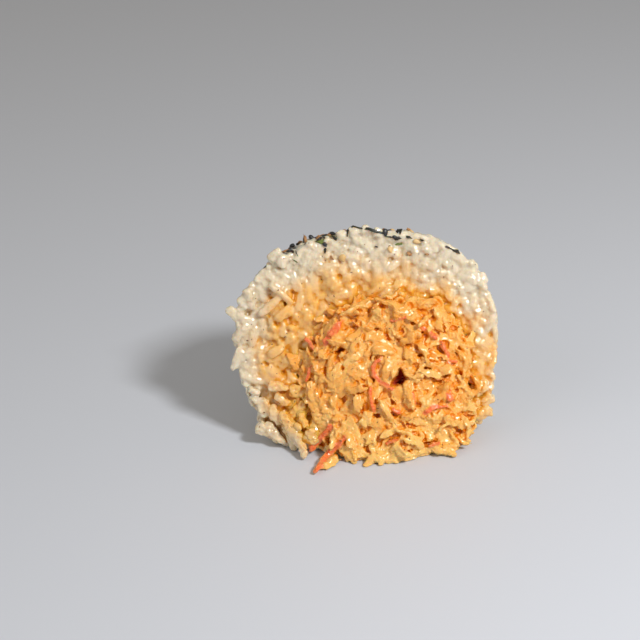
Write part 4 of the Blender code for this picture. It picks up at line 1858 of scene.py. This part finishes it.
def dig_holes(mesh):
    """Presses the holes into the front of the finished heap."""
    for vert in mesh.vertices:
        share = step(*HOLE_SLOPE, inside_hole(vert.co))
        if share > 0 and behind_front(vert.co) < HOLE_DEPTH:
            vert.co -= CRAB_FACE.normal * share * HOLE_DEPTH
    mesh.update()


def hole_depth(point):
    """How much painted shade a point gets: 0 at the filling's front and 1 deep in one of its holes."""
    return step(*DARK_DEPTHS, behind_front(point)) * step(*HOLE_SHADE, inside_hole(point))


dig_holes(torn_crab.data)
crab_points = array_of(torn_crab.data, "points", 3)
# The depth mark lets the finish paint a dark red shade deep in each hole.
add_mark(torn_crab.data, "depth", [hole_depth(Vector(point)) for point in crab_points])
print("holes", len(holes), "first corner at mm", [round(value / MM) for value in holes[0][0]])

# %% [markdown]
# ## Where sauce and shade gather
#
# Sauce and shade both gather where little of the sky can be seen. That share can be measured: a few
# short rays leave each point, spread round the way it faces, and those that hit something near are
# counted. The count becomes a mark that the finishes turn into thick sauce and painted shade.

# %% Cover
COVER_RAYS = 9
COVER_REACH = 3.0 * MM
COVER_START = 0.08 * MM


def tree_of(piece):
    return bvhtree.BVHTree.FromObject(piece, bpy.context.evaluated_depsgraph_get())


def mark_cover(piece, others):
    """0 where a point sees the whole sky over it, and 1 at the bottom of a crevice."""
    trees = [tree_of(other) for other in others]
    spread = np.random.default_rng(SEED).normal(size=(COVER_RAYS, 3))
    spread /= np.linalg.norm(spread, axis=1)[:, None]
    points, normals = array_of(piece.data, "points", 3), array_of(piece.data, "normals", 3)
    starts = points + normals * COVER_START
    hidden = np.zeros(len(points))
    for lean in spread:
        for i, (start, direction) in enumerate(zip(starts, normals + lean)):
            if any(tree.ray_cast(start, direction, COVER_REACH)[0] is not None for tree in trees):
                hidden[i] += 1
    add_mark(piece.data, "cover", hidden / COVER_RAYS)


mark_cover(torn_crab, (torn_crab,))
mark_cover(torn_rice, (torn_rice, torn_crab, loose_rice))
mark_cover(loose_rice, (torn_rice, torn_crab, loose_rice))
print("cover marked")

# %% [markdown]
# ## The finish of the crab
#
# The shreds are pale inside and coated with an orange, peppery sauce with some oil in it. Whole shreds
# differ, from cream to orange, so the mark of each shred takes part. On the ridges the sauce is thin
# and the meat shows paler, and light is painted there too. Low down the sauce is thin too, and the
# meat is paler. Where little sky is seen the colour turns deep orange, which is thick sauce with
# painted shade, and deep in the two holes a dark red shade is painted. The skin of the crab sticks is
# red and pink. The oil gives sharp small glints, and fine wrinkles run over all of it.

# %% Crab finish
CRAB_MEAT = colour(0.81, 0.33, 0.040)
PALE_MEAT = colour(0.86, 0.52, 0.16)
LOW_MEAT = colour(0.86, 0.56, 0.17)
# Sauce with painted shade where little sky is seen, thicker and darker deeper in.
SAUCED_SHADED_MEAT = colour(0.84, 0.30, 0.012)
THICK_SAUCE_SHADE = colour(0.66, 0.17, 0.004)
# Painted dark red shade for deep in the holes.
PAINTED_HOLE_SHADE = colour(0.42, 0.045, 0.025)
RED_SKIN = colour(0.80, 0.12, 0.035)
PINK_SKIN = colour(0.86, 0.25, 0.085)

crab_finish = Finish("spicy_crab")
tint = crab_finish.mark("tint")
cover = crab_finish.mark("cover")
cloud = crab_finish.patches(3 * MM, 2).within(0.35, 0.65)
streaks = crab_finish.patches(0.7 * MM, 3)
# Paler on the ridges: thinner sauce there, and painted light.
ridge = 1 - crab_finish.mark("crease").within(0.2, 0.5)
meat = crab_finish.mixed(0.75 * tint + 0.2 * cloud + 0.15 * ridge, CRAB_MEAT, PALE_MEAT)
height = crab_finish.node("ShaderNodeSeparateXYZ", None, {0: crab_finish.place()}, out="Z")
low = 1 - height.within(3 * MM, 17 * MM)
meat = crab_finish.mixed(0.6 * low, meat, LOW_MEAT)
skin_colour = crab_finish.mixed(streaks.within(0.35, 0.7), RED_SKIN, PINK_SKIN)
meat = crab_finish.mixed(crab_finish.mark("red") * 0.9, meat, skin_colour)
# Where little sky is seen: thick sauce, with painted shade.
sauced_and_shaded = crab_finish.mixed(cover.within(0.25, 0.75), meat, SAUCED_SHADED_MEAT)
sauced_and_shaded = crab_finish.mixed(cover.within(0.6, 1.0), sauced_and_shaded, THICK_SAUCE_SHADE)
# Deep in the holes a dark red shade is painted.
base = crab_finish.mixed(crab_finish.mark("depth"), sauced_and_shaded, PAINTED_HOLE_SHADE)
wrinkles = crab_finish.patches(0.5 * MM, 1)
oil = crab_finish.patches(1.2 * MM, 2).within(0.35, 0.65)
crab_finish.set(
    Base_Color=base,
    Roughness=0.12 + 0.16 * oil,
    Subsurface_Weight=0.5,
    Subsurface_Radius=(1.0, 0.5, 0.22),
    Subsurface_Scale=0.7 * MM,
    Coat_Weight=0.45 - 0.3 * oil,
    Coat_Roughness=0.06,
    IOR=1.45,
    Normal=crab_finish.raised(wrinkles, 0.09 * MM),
)
torn_crab.data.materials.append(crab_finish.material)
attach(torn_crab, "root")
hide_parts("crab_filling")
print("crab finish nodes", len(crab_finish.tree.nodes))

# %% [markdown]
# ## The kinds of topping
#
# The ball was dusted with a dry mix after it was pressed. It has black and golden sesame, which are
# flat drops about 3 mm long, torn seaweed, orange crumbs of dried fish and a little green leaf, and
# there is ground pepper in the rice itself. All but the seeds are small torn ribbons, thin for
# seaweed and thick for crumbs, so the maker of shreds serves again.

# %% Kinds of topping
TOPPING_KINDS = 12


def sesame_shape(draw, rings=7, sides=8):
    length = draw.uniform(2.7, 3.3) * MM
    width, thickness = length * draw.uniform(0.56, 0.64), length * 0.3
    made = []
    for i in range(rings):
        place = -math.cos(math.pi * (i + 1) / (rings + 1))
        girth = (1 - place**2) ** 0.5 * (1 - 0.38 * place)
        angles = np.arange(sides) * 2 * math.pi / sides
        ring = np.zeros((sides, 3))
        ring[:, 0] = place * length / 2
        ring[:, 1] = np.cos(angles) * girth * width / 2
        ring[:, 2] = np.sin(angles) * girth * thickness / 2
        made.append(ring)
    return shape_from(made, np.array([(-length / 2, 0, 0), (length / 2, 0, 0)]))


def flake_shapes(draw, lengths, widths, thicknesses, bend):
    """Torn flakes of many sizes. Each range is the smallest and the largest, in mm."""
    return [
        shred_shape(
            draw,
            length=draw.uniform(*lengths) * MM,
            width=draw.uniform(*widths) * MM,
            thickness=draw.uniform(*thicknesses) * MM,
            bend=bend * MM,
            twist=draw.uniform(-0.5, 0.5),
        )
        for _ in range(TOPPING_KINDS)
    ]


topping_draw = random.Random(SEED + 5)
seed_shapes = [sesame_shape(topping_draw) for _ in range(TOPPING_KINDS)]
seaweed_shapes = flake_shapes(topping_draw, (1.4, 4.2), (0.6, 2.2), (0.12, 0.2), 0.4)
crumb_kinds = flake_shapes(topping_draw, (1.0, 2.6), (0.8, 1.7), (0.4, 0.9), 0.2)
leaf_shapes = flake_shapes(topping_draw, (0.7, 1.8), (0.4, 1.1), (0.12, 0.25), 0.2)
pepper_shapes = flake_shapes(topping_draw, (0.2, 0.7), (0.12, 0.36), (0.1, 0.2), 0)
print("triangles in a seed", len(seed_shapes[0]["faces"]))

# %% [markdown]
# ## Strewing the toppings
#
# The mix lies thick on top of the ball, thins out down the sides and stops where the ball was broken.
# Each spot on the plain skin is kept by a chance that falls with its distance from the top. A ray
# down to the finished rice then finds where the seed comes to rest. The few that show at the front
# edge are set by pixel with a ray from the camera, and so is the seaweed that curls over the edge.

# %% Toppings seen one by one
# Each row is the shapes, their spacing in mm, the chance that a spot is kept, and how far in mm
# their middles lie over the rice.
TOPPINGS = {
    "black_sesame": (seed_shapes, 2.3, 1.0, 0.5),
    "golden_sesame": (seed_shapes, 3.4, 0.75, 0.5),
    "seaweed_flakes": (seaweed_shapes, 1.9, 1.0, 0.2),
    "orange_crumbs": (crumb_kinds, 2.2, 0.9, 0.4),
    "green_leaf": (leaf_shapes, 3.6, 0.8, 0.15),
}
# Toppings seen at the front edge: the pixel, the way the piece points there in degrees clockwise
# from right, and its length and width as shares of its kind's.
SEEN_TOPPINGS = {
    "black_sesame": (
        ((385, 233), 82, 0.95, 1.0), ((395, 237), 10, 0.6, 0.6), ((293, 245), 60, 0.55, 0.9),
        ((325, 244), 50, 0.6, 0.8), ((312, 236), 20, 0.6, 0.7),
    ),
    "golden_sesame": (
        ((417, 241), 15, 0.9, 0.9), ((390, 250), 75, 0.75, 0.9), ((343, 258), 70, 0.8, 1.2),
    ),
    "seaweed_flakes": (
        ((391, 237), 8, 0.9, 0.5), ((398, 238), -15, 0.8, 0.5), ((409, 237), 12, 0.9, 0.5),
        ((422, 240), 25, 0.8, 0.4), ((304, 236), 80, 0.6, 0.6), ((336, 239), 40, 0.8, 0.6),
        ((447, 247), 25, 0.8, 0.4), ((456, 251), 20, 0.7, 0.6), ((325, 250), 75, 0.5, 0.6),
        ((297, 254), 70, 0.5, 0.4), ((377, 247), 20, 0.5, 0.4),
    ),
    "orange_crumbs": (
        ((306, 241), 75, 0.9, 0.6), ((332, 258), 60, 0.8, 0.7), ((410, 254), 40, 0.6, 0.6),
        ((427, 254), 0, 0.5, 0.5), ((330, 236), 20, 0.8, 0.9), ((319, 235), 0, 0.8, 0.9),
    ),
    "green_leaf": (
        ((322, 242), 10, 1.4, 1.6), ((399, 244), -8, 1.7, 1.2), ((295, 261), 30, 1.0, 0.6),
    ),
}
CURL_PIXELS = (
    (347, 236), (348, 231), (353, 227), (360, 226), (368, 229), (377, 232), (386, 234),
)
print("kinds", len(TOPPINGS), "seen", sum(len(rows) for rows in SEEN_TOPPINGS.values()))

# %% [markdown]
# Two helpers find places by rays. One takes the nearest hit on several pieces. The other starts at
# the camera, and goes down pixel by pixel where a ray passes over the top of the ball.

# %% Rays
MOST_DROP = 14

rice_trees = [tree_of(piece) for piece in (pressed_rice, torn_rice, loose_rice)]
all_trees = [*rice_trees, tree_of(torn_crab)]


def first_hit(trees, start, direction):
    """The nearest place and normal that a ray finds on any of the trees."""
    hits = [tree.ray_cast(start, direction) for tree in trees]
    hits = [hit for hit in hits if hit[0] is not None]
    return min(hits, key=lambda hit: hit[3])[:2] if hits else None


def seen_hit(trees, pixel):
    """What a pixel's ray finds, or the first pixel below it that finds anything."""
    for drop in range(MOST_DROP):
        found = first_hit(trees, camera_place, pixel_direction((pixel[0], pixel[1] + drop)))
        if found:
            return found
    raise ValueError(f"no rice under pixel {pixel}")


print("trees", len(all_trees))

# %% [markdown]
# The chance of a topping is highest near the top of the ball, a little behind the middle. It falls
# to nothing down the sides, and close to the break, where more came off on the right than on the left.

# %% Strewn toppings
TOP_LEAN = Vector((-0.15, 0.6, 1))
TOP_REACH = 31 * MM
# Up to this share of the reach, the chance is whole.
TOP_FULL = 0.45
CLUMP_MEAN = 0.6
CLUMP_SWING = 0.8
CLUMP_SIZE = 9 * MM
RIM_DEPTHS = (2 * MM, 15 * MM)
RIM_SHARE_LEFT = 0.28
RIM_SHARE_RIGHT = 0.1
RIM_PARTING = -8 * MM
DROP_FROM = 6 * MM
TOPPING_TILT = 0.3
TOPPING_SIZES = (0.8, 1.1)
# Strewn pieces sink in a little, and lie this share as high as seen ones.
STREWN_LIFT = 0.6


def strewn_on_top(spacing, chance, lift, seed):
    """Places for a topping over the top of the ball."""
    draw = random.Random(seed)
    top = BALL_CENTRE + TOP_LEAN.normalized() * BALL_TOP_HEIGHT
    laid = []
    for spot, normal in scattered(skin, spacing * MM, on_skin, seed):
        clump = noise.noise(spot / CLUMP_SIZE + Vector((seed, 0, 0)))
        keep = CLUMP_MEAN + CLUMP_SWING * clump
        behind = step(*RIM_DEPTHS, -RICE_FACE.height_over(spot))
        rim_share = RIM_SHARE_LEFT if spot.x < RIM_PARTING else RIM_SHARE_RIGHT
        keep *= behind + (1 - behind) * rim_share
        if draw.random() > chance * keep * (1 - step(TOP_FULL, 1, (spot - top).length / TOP_REACH)):
            continue
        found = first_hit(rice_trees, spot + normal * DROP_FROM, -normal)
        if found:
            place, facing = found
            facing = (facing + normal).normalized()
            kind = draw.randrange(TOPPING_KINDS)
            size = draw.uniform(*TOPPING_SIZES)
            lifted = place + facing * lift * MM * STREWN_LIFT
            matrix = lying(lifted, facing, draw, TOPPING_TILT, (size, size, size))
            laid.append((kind, matrix))
    return laid


print("strewing within mm", TOP_REACH / MM)

# %% [markdown]
# A seen topping is turned to point as it does in the view. Its broad side faces midway between the
# camera and the way the rice faces. Strewn and seen pieces of a kind become one mesh.

# %% Seen and strewn together


def seen_toppings(rows, lift):
    """Places for toppings at their own pixels, one for each row."""
    laid = []
    for number, (pixel, turn, length, width) in enumerate(rows):
        place, facing = seen_hit(rice_trees, pixel)
        turn = math.radians(turn)
        axis = camera_turn @ Vector((math.cos(turn), -math.sin(turn), 0))
        towards = (facing - pixel_direction(pixel).normalized()).normalized()
        matrix = laid_along(place + towards * lift * MM, axis, towards, 1)
        kind = number % TOPPING_KINDS
        laid.append((kind, matrix @ Matrix.Diagonal((length, width, 1, 1))))
    return laid


topping_pieces = {}
for number, (name, (shapes, spacing, chance, lift)) in enumerate(TOPPINGS.items()):
    laid = strewn_on_top(spacing, chance, lift, SEED + 10 + number)
    laid += seen_toppings(SEEN_TOPPINGS[name], lift)
    topping_pieces[name] = add_object(name, joined(name, shapes, laid))
    print(name, len(laid))

# %% [markdown]
# One strip of seaweed curls over the front edge. It is a single ribbon through its own pixels.

# %% Seaweed curl
CURL_LIFT = 0.3 * MM
CURL_WIDTH = 0.9 * MM
CURL_THICKNESS = 0.2 * MM
CURL_FRAY = 0.3

curl_places = [seen_hit(rice_trees, pixel) for pixel in CURL_PIXELS]
curl_middles = np.array([place + normal * CURL_LIFT for place, normal in curl_places])
curl_ups = np.array([normal for _, normal in curl_places])
curl = ribbon(topping_draw, curl_middles, curl_ups, CURL_WIDTH, CURL_THICKNESS, CURL_FRAY)
topping_pieces["seaweed_curl"] = add_object(
    "seaweed_curl", joined("seaweed_curl", [curl], [(0, Matrix())])
)
print("points along the curl", len(CURL_PIXELS))

# %% [markdown]
# ## Pepper
#
# Ground pepper is in the rice and the sauce alike. The specks are under a millimetre long, just large
# enough to show as dark dots, and they lie wherever the break opened the food.

# %% Pepper
PEPPER_COUNT = 170
PEPPER_BOX = ((232, 236), (492, 462))
PEPPER_LIFT = 0.05 * MM
PEPPER_TILT = 0.5

pepper_draw = random.Random(SEED + 20)
laid = []
for _ in range(PEPPER_COUNT):
    pixel = [pepper_draw.uniform(low, high) for low, high in zip(*PEPPER_BOX)]
    found = first_hit(all_trees, camera_place, pixel_direction(pixel))
    if found:
        place, facing = found
        kind = pepper_draw.randrange(TOPPING_KINDS)
        matrix = lying(place + facing * PEPPER_LIFT, facing, pepper_draw, PEPPER_TILT)
        laid.append((kind, matrix))
topping_pieces["pepper_specks"] = add_object(
    "pepper_specks", joined("pepper_specks", pepper_shapes, laid)
)
print("pepper specks", len(laid))

# %% [markdown]
# ## Finishes of the toppings
#
# Dry toppings scatter little light, so plain colours do, each mixed from two by the mark of the piece
# and by fine patches. Black sesame is not black but a very dark grey-blue with a soft shine, and thin
# seaweed is a dark green that turns brown at the edges.

# %% Topping finishes
TOPPING_COLOURS = {
    "black_sesame": (colour(0.010, 0.011, 0.013), colour(0.035, 0.034, 0.036), 0.38),
    "golden_sesame": (colour(0.62, 0.36, 0.11), colour(0.78, 0.57, 0.30), 0.45),
    "seaweed_flakes": (colour(0.012, 0.016, 0.009), colour(0.060, 0.035, 0.022), 0.42),
    "seaweed_curl": (colour(0.012, 0.016, 0.010), colour(0.045, 0.040, 0.022), 0.38),
    "orange_crumbs": (colour(0.24, 0.10, 0.035), colour(0.62, 0.33, 0.13), 0.6),
    "green_leaf": (colour(0.055, 0.075, 0.012), colour(0.20, 0.24, 0.045), 0.55),
    "pepper_specks": (colour(0.05, 0.022, 0.008), colour(0.28, 0.12, 0.04), 0.6),
}

for name, piece in topping_pieces.items():
    dark, light, roughness = TOPPING_COLOURS[name]
    finish = Finish(name)
    blotches = finish.patches(0.5 * MM, 3)
    share = 0.5 * finish.mark("tint") + 0.7 * (blotches - 0.2)
    finish.set(
        Base_Color=finish.mixed(share, dark, light),
        Roughness=roughness,
        Normal=finish.raised(blotches, 0.05 * MM),
    )
    piece.data.materials.append(finish.material)
    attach(piece, "root")
    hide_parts("rice_ball")
print("topping finishes", len(TOPPING_COLOURS))
